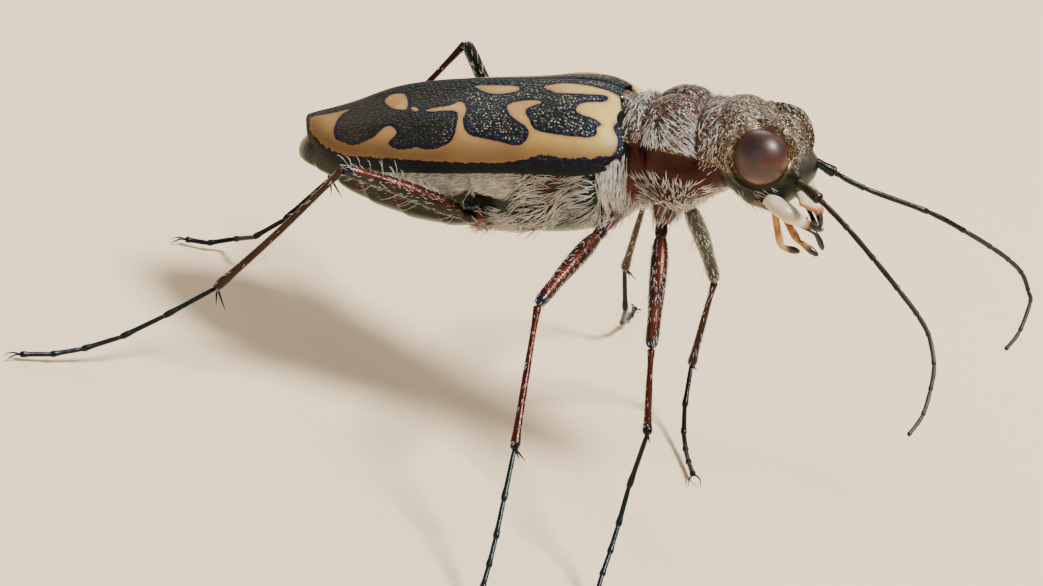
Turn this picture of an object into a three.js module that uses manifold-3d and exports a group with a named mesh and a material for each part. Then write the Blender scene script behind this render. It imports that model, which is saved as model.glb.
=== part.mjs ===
// A tiger beetle as a still, life-size model. Millimetres, +X forward, +Y to the beetle's left, +Z up.
// The trunk is shaped level in a group of its own, which is then pitched nose up and raised on the legs.
// Legs and feelers are shaped in the floor's frame, where the feet stand on z = 0.
import * as THREE from "three";
import { mergeVertices } from "three/addons/utils/BufferGeometryUtils.js";
import Module from "manifold-3d";

const wasm = await Module();
wasm.setup();

// Driving sizes
const GAP = 0.3; // left open between two nodes that meet
const THIN = 0.25; // radius of the thinnest limb, short of its tip
const PITCH = THREE.MathUtils.degToRad(23.5); // the trunk's axis above the floor
const STAND_HEIGHT = 9.0; // from the floor to the wing cases' base, on the mid-line
const CENTRE_SHIFT = new THREE.Vector3(0.68, 1.06, 0); // puts the box's middle over the origin
const SHELL = 0.5; // thickness of a wing case
const SIDES = { left: 1, right: -1 };

// Helpers for solids

// A smooth curve through [x, value] pairs, with x rising.
function profile(...pairs) {
  const places = pairs.map((pair) => pair[0]);
  const values = pairs.map((pair) => pair[1]);
  const spline = new THREE.CubicInterpolant(places, values, 1);
  return (x) => spline.evaluate(THREE.MathUtils.clamp(x, places[0], places.at(-1)))[0];
}

// A closed geometry as a manifold-3d solid.
function solid(geometry) {
  const bare = geometry.clone();
  bare.deleteAttribute("normal");
  bare.deleteAttribute("uv");
  const merged = mergeVertices(bare, 1e-4);
  return new wasm.Manifold(
    new wasm.Mesh({
      numProp: 3,
      vertProperties: new Float32Array(merged.attributes.position.array),
      triVerts: new Uint32Array(merged.index.array),
    }),
  );
}

// A solid's largest closed surface as a geometry, with any loose scrap of a cut left out.
function geometryOf(made) {
  const largest = made.decompose().reduce((a, b) => (b.volume() > a.volume() ? b : a));
  const { vertProperties, triVerts } = largest.getMesh();
  const geometry = new THREE.BufferGeometry();
  geometry.setAttribute("position", new THREE.BufferAttribute(new Float32Array(vertProperties), 3));
  geometry.setIndex([...triVerts]);
  geometry.computeVertexNormals();
  return geometry;
}

// A body along x: the unit cylinder with each ring laid on the section found there.
// sectionAt takes x and a turn from 0 to 1, which starts at +y and goes up.
function loft(from, to, rings, sides, sectionAt) {
  const geometry = new THREE.CylinderGeometry(1, 1, 1, sides, rings);
  const place = geometry.attributes.position;
  for (let i = 0; i < place.count; i++) {
    const x = THREE.MathUtils.lerp(from, to, place.getY(i) + 0.5);
    const onAxis = Math.hypot(place.getX(i), place.getZ(i)) < 0.5;
    const turn = Math.atan2(place.getX(i), place.getZ(i)) / (2 * Math.PI);
    const { y, z, middle } = sectionAt(x, (turn + 1) % 1);
    if (onAxis) place.setXYZ(i, x, 0, middle);
    else place.setXYZ(i, x, y, z);
  }
  return geometry;
}

const power = (value, exponent) => Math.sign(value) * Math.abs(value) ** exponent;

// A piece of the trunk: half its width, its top and its bottom along x, widest at level.
function trunkPiece(shape, grow = 0) {
  const { from, to, width, top, bottom, level, square, rings, sides } = shape;
  const sectionAt = (x, turn) => {
    const angle = 2 * Math.PI * turn;
    const widest = level(x);
    const reach = Math.sin(angle) > 0 ? top(x) - widest + grow : widest - bottom(x) + grow;
    const y = (width(x) + grow) * power(Math.cos(angle), 2 / square);
    return { y, z: widest + reach * power(Math.sin(angle), 2 / square), middle: widest };
  };
  return loft(from - grow, to + grow, rings, sides, sectionAt);
}

// A rod through points, with a radius at each, its end faces square to the cuts given.
function rod(points, radii, sides, startCut, endCut) {
  const last = points.length - 1;
  const along = points.map((point, i) =>
    points[Math.min(i + 1, last)].clone().sub(points[Math.max(i - 1, 0)]).normalize(),
  );
  const across = [];
  along.forEach((axis, i) => {
    const guide = i ? across[i - 1] : new THREE.Vector3(0.31, 0.22, 0.93);
    across.push(guide.clone().projectOnPlane(axis).normalize());
  });
  const geometry = new THREE.CylinderGeometry(1, 1, 1, sides, last);
  const place = geometry.attributes.position;
  for (let k = 0; k < place.count; k++) {
    const i = Math.round((place.getY(k) + 0.5) * last);
    const beside = new THREE.Vector3().crossVectors(across[i], along[i]);
    const offset = across[i].clone().multiplyScalar(place.getX(k) * radii[i]);
    offset.addScaledVector(beside, place.getZ(k) * radii[i]);
    const cut = i === 0 ? startCut : i === last ? endCut : null;
    if (cut) offset.addScaledVector(along[i], -offset.dot(cut) / along[i].dot(cut));
    place.setXYZ(k, ...points[i].clone().add(offset));
  }
  return geometry;
}

// A tapering spike from root, as long and as thick as given.
function spike(root, direction, length, radius) {
  const tip = root.clone().addScaledVector(direction.clone().normalize(), length);
  const middle = root.clone().lerp(tip, 0.5);
  return rod([root, middle, tip], [radius, radius * 0.7, 0.03], 5);
}

const vector = (x, y, z) => new THREE.Vector3(x, y, z);
const mirrored = (side, x, y, z) => vector(x, y * side, z);

// Scene graph
const beetle = new THREE.Group();
beetle.position.copy(CENTRE_SHIFT);
const trunk = new THREE.Group();
trunk.rotation.y = -PITCH;
trunk.position.z = STAND_HEIGHT;
beetle.add(trunk);
trunk.updateMatrix();
const trunkInverse = trunk.matrix.clone().invert();
const toFloor = (point) => point.clone().applyMatrix4(trunk.matrix);
const fromFloor = (point) => point.clone().applyMatrix4(trunkInverse);

const finish = (color, roughness, metalness) =>
  new THREE.MeshStandardMaterial({ color, roughness, metalness, flatShading: true });
const COPPER = finish("#5a4334", 0.45, 0.5);
const HORN_EYE = finish("#33201d", 0.15, 0);
const IVORY = finish("#d9ccab", 0.4, 0);
const AMBER = finish("#b97a35", 0.4, 0);
const FEELER = finish("#2f2b26", 0.5, 0.2);
const WING_CASE = finish("#a58a61", 0.45, 0.1);
const BELLY = finish("#5d5a50", 0.5, 0.3);
const LEG = finish("#6a3226", 0.4, 0.5);
const FOOT = finish("#1f2c30", 0.4, 0.5);

function addNode(parent, name, geometry, material) {
  const mesh = new THREE.Mesh(geometry, material);
  mesh.name = name;
  parent.add(mesh);
}

// Trunk shapes, level, from the wing cases' base at x = 0
const PROTHORAX = {
  from: 0.35,
  to: 2.75,
  width: profile([0.35, 1.36], [0.75, 1.4], [1.5, 1.65], [2.1, 1.52], [2.35, 1.38], [2.75, 1.36]),
  top: profile([0.35, 1.17], [0.7, 1.23], [0.9, 1.2], [1.5, 1.34], [2.05, 1.24], [2.3, 1.12], [2.75, 1.1]),
  bottom: profile([0.35, -1.7], [1.2, -1.8], [2, -1.6], [2.75, -1.25]),
  level: () => -0.15,
  square: 2.2,
  rings: 14,
  sides: 24,
};
const PTEROTHORAX = {
  from: -3.75,
  to: 0.05,
  width: profile([-3.75, 2.1], [-1.5, 2.05], [-0.6, 1.85], [0.05, 1.45]),
  top: profile([-3.75, 1.5], [-0.6, 1.4], [0.05, 0.95]),
  bottom: profile([-3.75, -2.32], [-1.1, -2.32], [-0.3, -2.15], [0.05, -1.8]),
  level: () => -0.5,
  square: 2.2,
  rings: 8,
  sides: 24,
};
const ABDOMEN = {
  from: -9.3,
  to: -4.05,
  width: profile(
    [-9.3, 0.3], [-9.05, 0.72], [-8.5, 1.1], [-7.9, 1.36], [-6.9, 1.68], [-5.5, 1.9], [-4.05, 1.95],
  ),
  top: profile([-9.3, 0.0], [-9.05, 0.25], [-8.5, 0.6], [-7, 1.2], [-4.05, 1.5]),
  bottom: profile(
    [-9.3, -0.35], [-8.8, -0.55], [-8.2, -0.8], [-7.6, -1.25], [-6.9, -1.6], [-5.55, -2.08], [-4.05, -2.32],
  ),
  level: profile([-9.3, -0.17], [-8.8, -0.2], [-7.6, -0.35], [-4.05, -0.5]),
  square: 2.1,
  rings: 13,
  sides: 22,
};
const HEAD = {
  from: 3.05,
  to: 4.92,
  width: profile([3.05, 1.28], [3.4, 1.32], [4.0, 1.22], [4.5, 1.08], [4.92, 0.85]),
  top: profile(
    [3.05, 1.13], [3.45, 1.1], [3.65, 1.0], [3.85, 0.85], [4.05, 0.69], [4.25, 0.48], [4.46, 0.22],
    [4.7, -0.16], [4.92, -0.72],
  ),
  bottom: profile([3.05, -1.15], [3.6, -1.55], [4.1, -1.72], [4.5, -1.5], [4.92, -1.12]),
  level: profile([3.05, -0.1], [4.2, -0.45], [4.92, -0.94]),
  square: 2.3,
  rings: 10,
  sides: 22,
};

// The two wing cases are one dome over the hind body, hollowed, then parted along the suture.
const WING = {
  apex: -9.02,
  base: 0.05,
  width: profile(
    [-9.02, 0.2], [-8.85, 0.62], [-8.5, 1.06], [-8, 1.46], [-7.4, 1.8], [-6.6, 2.16],
    [-5.5, 2.46], [-4.2, 2.6], [-2.5, 2.56], [-1, 2.38], [-0.3, 2.2], [0.05, 2.02],
  ),
  seam: profile(
    [-9.02, 0.77], [-8.3, 0.95], [-7.6, 1.15], [-7, 1.36], [-6.6, 1.49], [-5.6, 1.67], [-5, 1.72],
    [-3.9, 1.755], [-2.35, 1.745], [-1.17, 1.72], [-0.5, 1.64], [-0.2, 1.56], [0.05, 1.44],
  ),
  ridge: profile(
    [-9.02, 0.05], [-8, 0.16], [-6.5, 0.24], [-5, 0.24], [-3, 0.22], [-2.2, 0.15], [-1.4, 0.03], [-0.9, 0],
  ),
  roof: 1.2, // how far out from the seam its ridge slopes down
  margin: profile(
    [-9.02, 0.55], [-8.6, 0.38], [-8.1, 0.14], [-7.5, 0.04], [-6.5, 0.06], [-5.5, 0.12], [-4, 0.14],
    [-2.5, 0.12], [-1.5, 0.04], [-0.6, -0.04], [0.05, 0.02],
  ),
  turned: 0.14, // how far the edge reaches down below the margin
  shoulder: { drop: 0.52, from: 0.1, to: 0.35, at: 0.35, reach: 0.55 }, // the roll down to the base
  square: 2.15,
  rings: 20,
  sides: 35,
  arched: 0.8, // the share of the sides that make the arch, with the rest along the open side
};
const CLEARANCE = { ...WING, rings: 12, sides: 25 }; // a coarser dome, for the gap under the wings

const LEAST = 0.02; // half width and height that a dome keeps at its ends

function wingDome(grow, depthBelow, { rings, sides }) {
  const { drop, from, to, at, reach } = WING.shoulder;
  const sectionAt = (x, turn) => {
    const inside = THREE.MathUtils.clamp(x, WING.apex, WING.base);
    const half = Math.max(WING.width(inside) + grow, LEAST);
    const middle = WING.margin(inside);
    const ridge = WING.ridge(inside);
    const height = Math.max(WING.seam(inside) - ridge + grow - middle, LEAST);
    if (turn > WING.arched) {
      const share = (turn - WING.arched) / (1 - WING.arched);
      return { y: half * (2 * share - 1), z: middle - depthBelow, middle };
    }
    const angle = (Math.PI * turn) / WING.arched;
    const y = half * power(Math.cos(angle), 2 / WING.square);
    if (turn === 0 || turn === WING.arched) return { y, z: middle - depthBelow, middle };
    const rise = power(Math.sin(angle), 2 / WING.square);
    const outward = Math.abs(1 - (2 * turn) / WING.arched);
    const roll = drop * THREE.MathUtils.smoothstep(outward, from, to) * Math.exp((inside - at) / reach);
    const roof = ridge * Math.max(1 - Math.abs(y) / WING.roof, 0) ** 2;
    return { y, z: middle + (height - roll) * rise + roof, middle };
  };
  const back = WING.apex - grow;
  const front = WING.base + (grow < 0 ? GAP : grow);
  return solid(loft(back, front, rings, sides, sectionAt));
}

// The scutellum is a small wedge between the wing cases' bases.
function scutellumWedge(grow) {
  const [front, tip, half, low, high] = [0.05, -0.6, 0.42, 1.08, 1.5];
  const outline = new THREE.Shape([
    new THREE.Vector2(tip - 1.6 * grow, 0),
    new THREE.Vector2(front + grow, -half - grow),
    new THREE.Vector2(front + grow, half + grow),
  ]);
  const depth = high - low + 2 * grow;
  const geometry = new THREE.ExtrudeGeometry(outline, { depth, bevelEnabled: false });
  return solid(geometry.translate(0, 0, low - grow));
}

const OPEN_DEPTH = 2; // how far the hollowing dome reaches out below the margin
const outside = wingDome(GAP, WING.turned + GAP, CLEARANCE);
const shellWithGap = outside.subtract(wingDome(-SHELL - GAP, OPEN_DEPTH, CLEARANCE));
const hollowed = wingDome(0, WING.turned, WING).subtract(wingDome(-SHELL, OPEN_DEPTH, CLEARANCE));
const shell = hollowed.subtract(scutellumWedge(GAP));

// Legs: where each joint lies, as the photo shows it, in the floor's frame
const LEGS = {
  front: {
    coxaRoot: [1.22, 0.5, -1.2],
    trochanter: [1.05, 1.05, -2.05],
    coxaRadius: 0.42,
    spur: [0.25, 0.15, -0.3], // forward, outward and up
    spurLength: 0.32,
    right: {
      knee: [2.92, -3.04, 5.07],
      ankle: [4.02, -5.59, 3.98],
      toes: [
        [4.07, -6.0, 2.57], [4.23, -6.59, 1.72], [4.35, -7.15, 1.2], [4.44, -7.68, 0.79], [4.59, -8.29, 0.27],
      ],
      claw: [4.62, -8.65, 0.1],
    },
    left: {
      knee: [2.71, 3.52, 4.55],
      ankle: [2.73, 4.0, 1.7],
      toes: [[3.05, 3.25, 0.85], [3.4, 2.5, 0.45], [3.7, 1.95, 0.28], [3.98, 1.45, 0.22], [4.28, 0.95, 0.2]],
      claw: [4.5, 0.6, 0.1],
    },
  },
  middle: {
    coxaRoot: [-0.3, 0.85, -1.4],
    trochanter: [-0.42, 1.58, -1.98],
    coxaRadius: 0.45,
    spur: [0.4, 0.03, -0.24], // forward, outward and up
    spurLength: 0.47,
    right: {
      knee: [0.06, -4.82, 5.83],
      ankle: [1.22, -7.56, 3.03],
      toes: [
        [1.58, -8.63, 2.14], [1.86, -9.48, 1.5], [2.05, -10.14, 1.01], [2.18, -10.67, 0.66],
        [2.34, -11.29, 0.27],
      ],
      claw: [2.38, -11.65, 0.1],
    },
    left: {
      knee: [-0.05, 4.72, 5.75],
      ankle: [-0.35, 6.4, 2.48],
      toes: [
        [-0.05, 6.72, 1.2], [-0.15, 7.35, 0.5], [-0.18, 8.1, 0.27], [-0.22, 8.6, 0.22], [-0.3, 9.15, 0.2],
      ],
      claw: [-0.33, 9.5, 0.1],
    },
  },
  hind: {
    coxaRoot: [-3.9, 0.8, -1.8],
    trochanter: [-3.92, 1.88, -1.52],
    coxaRadius: 0.45,
    spur: [0.46, 0.14, -0.5], // forward, outward and up
    spurLength: 0.7,
    right: {
      knee: [-6.09, -4.37, 7.06],
      ankle: [-8.54, -4.32, 2.35],
      toes: [
        [-9.37, -5.34, 1.54], [-10.11, -6.18, 0.9], [-10.84, -6.87, 0.48], [-11.46, -7.45, 0.27],
        [-12.09, -7.98, 0.2],
      ],
      claw: [-12.45, -8.2, 0.1],
    },
    left: {
      knee: [-6.09, 4.6, 7.79],
      ankle: [-8.3, 3.0, 3.1],
      toes: [
        [-8.97, 2.22, 1.86], [-9.66, 2.26, 1.0], [-10.3, 2.7, 0.5], [-10.89, 2.34, 0.25], [-11.45, 2.12, 0.2],
      ],
      claw: [-11.8, 2.0, 0.1],
    },
  },
};

const between = (from, to) => to.clone().sub(from).normalize();

// One limb segment from joint to joint, half a gap short of each, its ends cut along the joints' bisectors.
function segment(from, to, before, after, radii, sides) {
  const direction = between(from, to);
  const startCut = before ? between(before, from).add(direction).normalize() : direction;
  const endCut = after ? between(to, after).add(direction).normalize() : direction;
  const start = from.clone().addScaledVector(direction, GAP / 2 / direction.dot(startCut));
  const end = after ? to.clone().addScaledVector(direction, -GAP / 2 / direction.dot(endCut)) : to;
  const points = radii.map((radius, i) => start.clone().lerp(end, i / (radii.length - 1)));
  return rod(points, radii, sides, startCut, endCut);
}

const CLAW_LENGTH = 0.55;
const SPINE_RADIUS = 0.13; // of a spur or claw at its root
const ROOM = 0.8 * GAP; // kept around a thigh
const CLAW_SPREAD = 0.5; // sideways share of a claw's direction
const clearings = { front: [], middle: [], hind: [] }; // room in the trunk for coxae and thighs

for (const [pair, leg] of Object.entries(LEGS)) {
  for (const [sideName, side] of Object.entries(SIDES)) {
    const { knee: kneeAt, ankle: ankleAt, toes, claw } = leg[sideName];
    const root = mirrored(side, ...leg.coxaRoot);
    const hip = mirrored(side, ...leg.trochanter);
    const hipOnFloor = toFloor(hip);
    const knee = vector(...kneeAt);
    const ankle = vector(...ankleAt);
    const joints = toes.map((toe) => vector(...toe));

    const thigh = between(hip, fromFloor(knee));
    const coxaEnd = hip.clone().addScaledVector(thigh, -GAP / 2);
    const swell = root.clone().lerp(coxaEnd, 0.5);
    const coxaRods = (grow) => {
      const { coxaRadius } = leg;
      const radii = [coxaRadius, coxaRadius, coxaRadius * 0.75].map((radius) => radius + grow);
      const end = coxaEnd.clone().addScaledVector(thigh, grow);
      return solid(rod([root, swell, end], radii, 10, null, thigh));
    };
    addNode(trunk, `${pair}_coxa_${sideName}`, geometryOf(coxaRods(0)), BELLY);
    const femurRadii = [0.25, 0.3, 0.3, 0.27, 0.26];
    const femur = segment(hipOnFloor, knee, null, ankle, femurRadii, 8);
    const roomRadii = femurRadii.map((radius) => radius + ROOM);
    const room = solid(segment(hipOnFloor, knee, null, ankle, roomRadii, 8));
    clearings[pair].push(coxaRods(GAP), room.transform(trunkInverse.elements));
    addNode(beetle, `${pair}_femur_${sideName}`, geometryOf(solid(femur)), LEG);

    const tibia = segment(knee, ankle, hipOnFloor, joints[0], [THIN, THIN, THIN, 0.28], 8);
    const shin = between(knee, ankle);
    const spurRoot = ankle.clone().addScaledVector(shin, -GAP);
    const spur = spike(spurRoot, mirrored(side, ...leg.spur), leg.spurLength, SPINE_RADIUS);
    addNode(beetle, `${pair}_tibia_${sideName}`, geometryOf(solid(tibia).add(solid(spur))), LEG);

    const points = [ankle.clone().addScaledVector(between(ankle, joints[0]), GAP / 2)];
    const radii = [THIN];
    joints.forEach((joint, i) => {
      const waist = points.at(-1).clone().lerp(joint, 0.6);
      points.push(waist, joint);
      radii.push(THIN * 0.9, i === joints.length - 1 ? THIN * 0.8 : THIN * 1.1);
    });
    const startCut = shin.clone().add(between(ankle, joints[0])).normalize();
    let foot = solid(rod(points, radii, 7, startCut));
    const tip = joints.at(-1);
    const clawWay = between(tip, vector(...claw));
    const clawAcross = new THREE.Vector3().crossVectors(clawWay, vector(0, 0, 1)).normalize();
    for (const turn of [-1, 1]) {
      const way = clawWay.clone().addScaledVector(clawAcross, turn * CLAW_SPREAD);
      const clawRoot = tip.clone().addScaledVector(clawWay, -0.1);
      foot = foot.add(solid(spike(clawRoot, way, CLAW_LENGTH, SPINE_RADIUS)));
    }
    addNode(beetle, `${pair}_tarsus_${sideName}`, geometryOf(foot.trimByPlane([0, 0, 1], 0)), FOOT);
  }
}

const clearOfLegs = (made, ...pairs) =>
  pairs.flatMap((pair) => clearings[pair]).reduce((left, room) => left.subtract(room), made);

// Thorax and abdomen
const prothorax = clearOfLegs(solid(trunkPiece(PROTHORAX)), "front");
addNode(trunk, "prothorax", geometryOf(prothorax), COPPER);
const pterothorax = solid(trunkPiece(PTEROTHORAX)).subtract(shellWithGap).subtract(scutellumWedge(GAP));
addNode(trunk, "pterothorax", geometryOf(clearOfLegs(pterothorax, "middle", "hind")), BELLY);
const abdomen = solid(trunkPiece(ABDOMEN)).subtract(shellWithGap);
addNode(trunk, "abdomen", geometryOf(clearOfLegs(abdomen, "hind")), BELLY);
addNode(trunk, "scutellum", geometryOf(scutellumWedge(0)), COPPER);
for (const [sideName, side] of Object.entries(SIDES)) {
  const half = shell.trimByPlane([0, side, 0], GAP / 2);
  addNode(trunk, `elytron_${sideName}`, geometryOf(half), WING_CASE);
}

// Head: each eye is a dome, flat inside, set in a socket
const EYE = { x: 4.0, y: 1.08, z: -0.14, radius: 0.74, bulge: 0.68, flat: 0.72 };
function eyeDome(side, grow) {
  const ball = new THREE.SphereGeometry(1, 18, 12);
  ball.scale(EYE.radius + grow, EYE.bulge + grow, EYE.radius + grow);
  ball.translate(EYE.x, EYE.y * side, EYE.z);
  return solid(ball).trimByPlane([0, side, 0], EYE.flat - grow);
}
const headWithGap = solid(trunkPiece(HEAD, GAP));
let head = solid(trunkPiece(HEAD));
for (const side of Object.values(SIDES)) head = head.subtract(eyeDome(side, GAP));
addNode(trunk, "head", geometryOf(head), COPPER);
for (const [sideName, side] of Object.entries(SIDES))
  addNode(trunk, `eye_${sideName}`, geometryOf(eyeDome(side, 0)), HORN_EYE);

// Mouth parts, each cut clear of the head
const LABRUM = { half: 0.6, top: -1.1, low: -2.0, back: 4.75, front: 5.2 };
const labrumPlate = new THREE.BoxGeometry(
  LABRUM.front - LABRUM.back,
  2 * LABRUM.half,
  LABRUM.top - LABRUM.low,
);
labrumPlate.translate((LABRUM.front + LABRUM.back) / 2, 0, (LABRUM.top + LABRUM.low) / 2);
addNode(trunk, "labrum", geometryOf(solid(labrumPlate).subtract(headWithGap)), IVORY);

const JAW_RADII = [0.33, 0.33, 0.28, 0.2, 0.06];
const PALP_RADII = [THIN, THIN, 0.14];
for (const [sideName, side] of Object.entries(SIDES)) {
  const at = (...place) => mirrored(side, ...place);
  const jawPath = [
    at(4.3, 0.95, -1.4), at(4.75, 1.1, -1.8), at(5.15, 0.95, -2.2), at(5.35, 0.55, -2.5),
    at(5.35, 0.2, -2.62),
  ];
  const jawSolid = solid(rod(jawPath, JAW_RADII, 8)).subtract(headWithGap);
  addNode(trunk, `mandible_${sideName}`, geometryOf(jawSolid), IVORY);
  const outerPath = [at(3.85, 0.9, -1.6), at(4.15, 0.95, -2.3), at(4.65, 1.0, -2.75)];
  const outerPalp = solid(rod(outerPath, PALP_RADII, 7)).subtract(headWithGap);
  addNode(trunk, `maxillary_palp_${sideName}`, geometryOf(outerPalp), AMBER);
  const innerPath = [at(4.2, 0.35, -1.6), at(4.4, 0.38, -2.8), at(4.95, 0.42, -3.15)];
  const innerPalp = solid(rod(innerPath, PALP_RADII, 7)).subtract(headWithGap);
  addNode(trunk, `labial_palp_${sideName}`, geometryOf(innerPalp), AMBER);
}

// Feelers in three lengths, by the points that the photo shows, in the floor's frame
const ANTENNAE = {
  right: [
    [4.66, -0.72, 10.09], [5.62, -1.2, 10.02], [6.7, -1.95, 9.89], [7.72, -2.63, 9.67], [8.67, -3.24, 9.42],
    [9.43, -3.77, 9.21], [9.97, -4.41, 9.08], [10.42, -4.98, 8.64], [10.64, -5.66, 8.26],
    [10.76, -6.33, 7.85],
    [10.68, -6.98, 7.49],
  ],
  left: [
    [4.71, 0.75, 10.16], [5.36, 1.1, 9.9], [6.19, 1.48, 9.65], [7.86, 2.43, 9.3], [8.85, 3.01, 8.93],
    [9.57, 3.51, 8.57], [10.07, 3.94, 8.23], [10.45, 4.3, 7.85], [10.75, 4.4, 7.4], [10.93, 4.09, 7.26],
    [11.02, 3.33, 6.69], [10.92, 2.67, 6.35],
  ],
};
const LENGTHS = { base: [0, 0.28], middle: [0.28, 0.64], tip: [0.64, 1] };
const FEELER_STEPS = 7;
const TAPER_FROM = 0.85; // the share of a feeler where it begins to thin
const headOnFloor = headWithGap.transform(trunk.matrix.elements);
for (const [sideName, places] of Object.entries(ANTENNAE)) {
  const route = new THREE.CatmullRomCurve3(places.map((place) => vector(...place)));
  const length = route.getLength();
  for (const [part, [from, to]] of Object.entries(LENGTHS)) {
    const start = from + (from > 0 ? GAP / 2 / length : 0);
    const end = to - (to < 1 ? GAP / 2 / length : 0);
    const points = [];
    const radii = [];
    for (let i = 0; i <= FEELER_STEPS; i++) {
      const share = THREE.MathUtils.lerp(start, end, i / FEELER_STEPS);
      points.push(route.getPointAt(share));
      radii.push(THREE.MathUtils.mapLinear(Math.max(share, TAPER_FROM), TAPER_FROM, 1, THIN, 0.1));
    }
    const piece = solid(rod(points, radii, 7)).subtract(headOnFloor);
    addNode(beetle, `antenna_${sideName}_${part}`, geometryOf(piece), FEELER);
  }
}

const part = new THREE.Group();
part.add(beetle);

export default part;
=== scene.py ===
"""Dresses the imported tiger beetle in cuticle, eyes, mouthparts and hair, in the photo's pose.

Pieces are shaped in millimetres. Those of the trunk are shaped level, along +X from the wing cases' base,
and are then pitched nose up and raised on the legs. Legs and feelers are shaped in the floor's frame.
"""

import math

import bmesh
import bpy
import numpy as np
from mathutils import Matrix, Vector


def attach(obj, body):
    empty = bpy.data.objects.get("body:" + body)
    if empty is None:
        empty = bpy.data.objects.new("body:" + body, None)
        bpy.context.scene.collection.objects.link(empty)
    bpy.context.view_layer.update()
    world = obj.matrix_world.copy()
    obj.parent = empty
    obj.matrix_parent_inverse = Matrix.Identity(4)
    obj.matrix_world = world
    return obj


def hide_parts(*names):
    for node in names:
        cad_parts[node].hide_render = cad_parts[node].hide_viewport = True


bl_info = {
    "name": "Tiger beetle model",
    "version": (1, 0, 0),
    "blender": (4, 5, 0),
    "location": "View3D > Sidebar > Beetle",
    "description": "Builds the cuticle, eyes, mouthparts, limbs and hair of a life-size tiger beetle",
    "category": "Object",
}

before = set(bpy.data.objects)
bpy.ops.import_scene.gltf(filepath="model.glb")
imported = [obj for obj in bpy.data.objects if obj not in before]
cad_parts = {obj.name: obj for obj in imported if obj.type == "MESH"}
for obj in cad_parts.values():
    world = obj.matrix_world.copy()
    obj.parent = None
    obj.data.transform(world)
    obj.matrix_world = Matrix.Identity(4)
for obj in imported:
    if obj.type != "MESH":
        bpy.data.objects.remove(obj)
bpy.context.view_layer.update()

# The model's place
MM = 0.001  # one millimetre in scene units
PITCH = math.radians(23.5)  # the trunk's axis above the floor
STAND_HEIGHT = 9.0  # mm from the floor to the wing cases' base
CENTRE_SHIFT = (0.68, 1.06, 0.0)  # mm, puts the box's middle over the origin
TO_FLOOR = Matrix.Scale(MM, 4) @ Matrix.Translation(CENTRE_SHIFT)
TRUNK = Matrix.Translation((0, 0, STAND_HEIGHT)) @ Matrix.Rotation(-PITCH, 4, "Y")
TO_TRUNK = TO_FLOOR @ TRUNK
SIDES = {"left": 1, "right": -1}
PAIRS = ("front", "middle", "hind")
BODY = "root"
PAINTED_LIGHT_WAY = np.array((0.15, 0.6, 0.78))  # forward, outward and up: the side of a limb that gets a painted highlight


# Curves and numbers


def profile(*pairs):
    """A smooth curve through (place, value) pairs, with places rising, that also takes arrays."""
    places, values = (np.array(row, float) for row in zip(*pairs))
    slopes = np.gradient(values, places)

    def curve(at):
        at = np.clip(at, places[0], places[-1])
        k = np.clip(np.searchsorted(places, at) - 1, 0, len(places) - 2)
        span = places[k + 1] - places[k]
        t = (at - places[k]) / span
        start = (2 * t**3 - 3 * t**2 + 1) * values[k] + (t**3 - 2 * t**2 + t) * span * slopes[k]
        end = (3 * t**2 - 2 * t**3) * values[k + 1] + (t**3 - t**2) * span * slopes[k + 1]
        return start + end

    return curve


def power(value, exponent):
    return np.sign(value) * np.abs(value) ** exponent


def step(value, low, high):
    """0 below low, 1 above high, smooth between."""
    t = np.clip((value - low) / (high - low), 0, 1)
    return t * t * (3 - 2 * t)


def hump(value, centre, half):
    """1 at the centre, falling smoothly to 0 about half away."""
    return np.exp(-(((value - centre) / half) ** 2) * 2)


def unit(vectors):
    return vectors / np.maximum(np.linalg.norm(vectors, axis=-1, keepdims=True), 1e-9)


def smooth_line(points, steps, closed=False):
    """A Catmull-Rom curve through points, with that many steps between two of them."""
    points = np.array(points, float)
    if closed:
        padded = np.vstack([points[-1:], points, points[:2]])
    else:
        first = 2 * points[0] - points[1]
        last = 2 * points[-1] - points[-2]
        padded = np.vstack([first, points, last])
    t = (np.arange(steps) / steps)[:, None]
    lines = []
    for a, b, c, d in zip(padded, padded[1:], padded[2:], padded[3:]):
        bend = (2 * a - 5 * b + 4 * c - d) * t**2 + (3 * b - a - 3 * c + d) * t**3
        lines.append(0.5 * (2 * b + (c - a) * t + bend))
    if not closed:
        lines.append(points[-1:])
    return np.vstack(lines)


def even(points, count):
    """That many points at even distances along a line."""
    points = np.array(points, float)
    run = np.concatenate([[0], np.cumsum(np.linalg.norm(np.diff(points, axis=0), axis=1))])
    at = np.linspace(0, run[-1], count)
    return np.stack([np.interp(at, run, points[:, k]) for k in range(points.shape[1])], 1)


# Surfaces: each takes a place along and a turn around, both from 0 to 1, and gives points in mm


def rounded(along, cap, depth):
    """How far down its axis a closed skin lies at a place along it, and how full it is there.

    cap is the share of the skin's length that each round end takes, depth its share of the axis."""
    start = np.clip(along / cap, 0, 1) * math.pi / 2
    end = np.clip((1 - along) / cap, 0, 1) * math.pi / 2
    middle = np.clip((along - cap) / (1 - 2 * cap), 0, 1)
    share = depth * (1 - np.cos(start)) + (1 - 2 * depth) * middle + depth * np.cos(end)
    return share, np.sin(start) * np.sin(end)


def trunk_surface(shape):
    """A body along x from its half width, top, bottom and the level where it is widest."""
    first, last = shape["x"]
    square = 2 / shape["square"]
    relief = shape.get("relief")

    def surface(along, turn):
        share, full = rounded(along, shape["cap"], shape["depth"])
        x = first + (last - first) * share
        angle = 2 * math.pi * turn
        across, up = power(np.cos(angle), square), power(np.sin(angle), square)
        level = shape["level"](x)
        reach = np.where(up > 0, shape["top"](x) - level, level - shape["bottom"](x))
        y = shape["width"](x) * full * across
        z = level + reach * full * up
        if relief:
            y, z = relief(x, y, z, across, up)
        return np.stack(np.broadcast_arrays(x, y, z), -1)

    return surface


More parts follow.
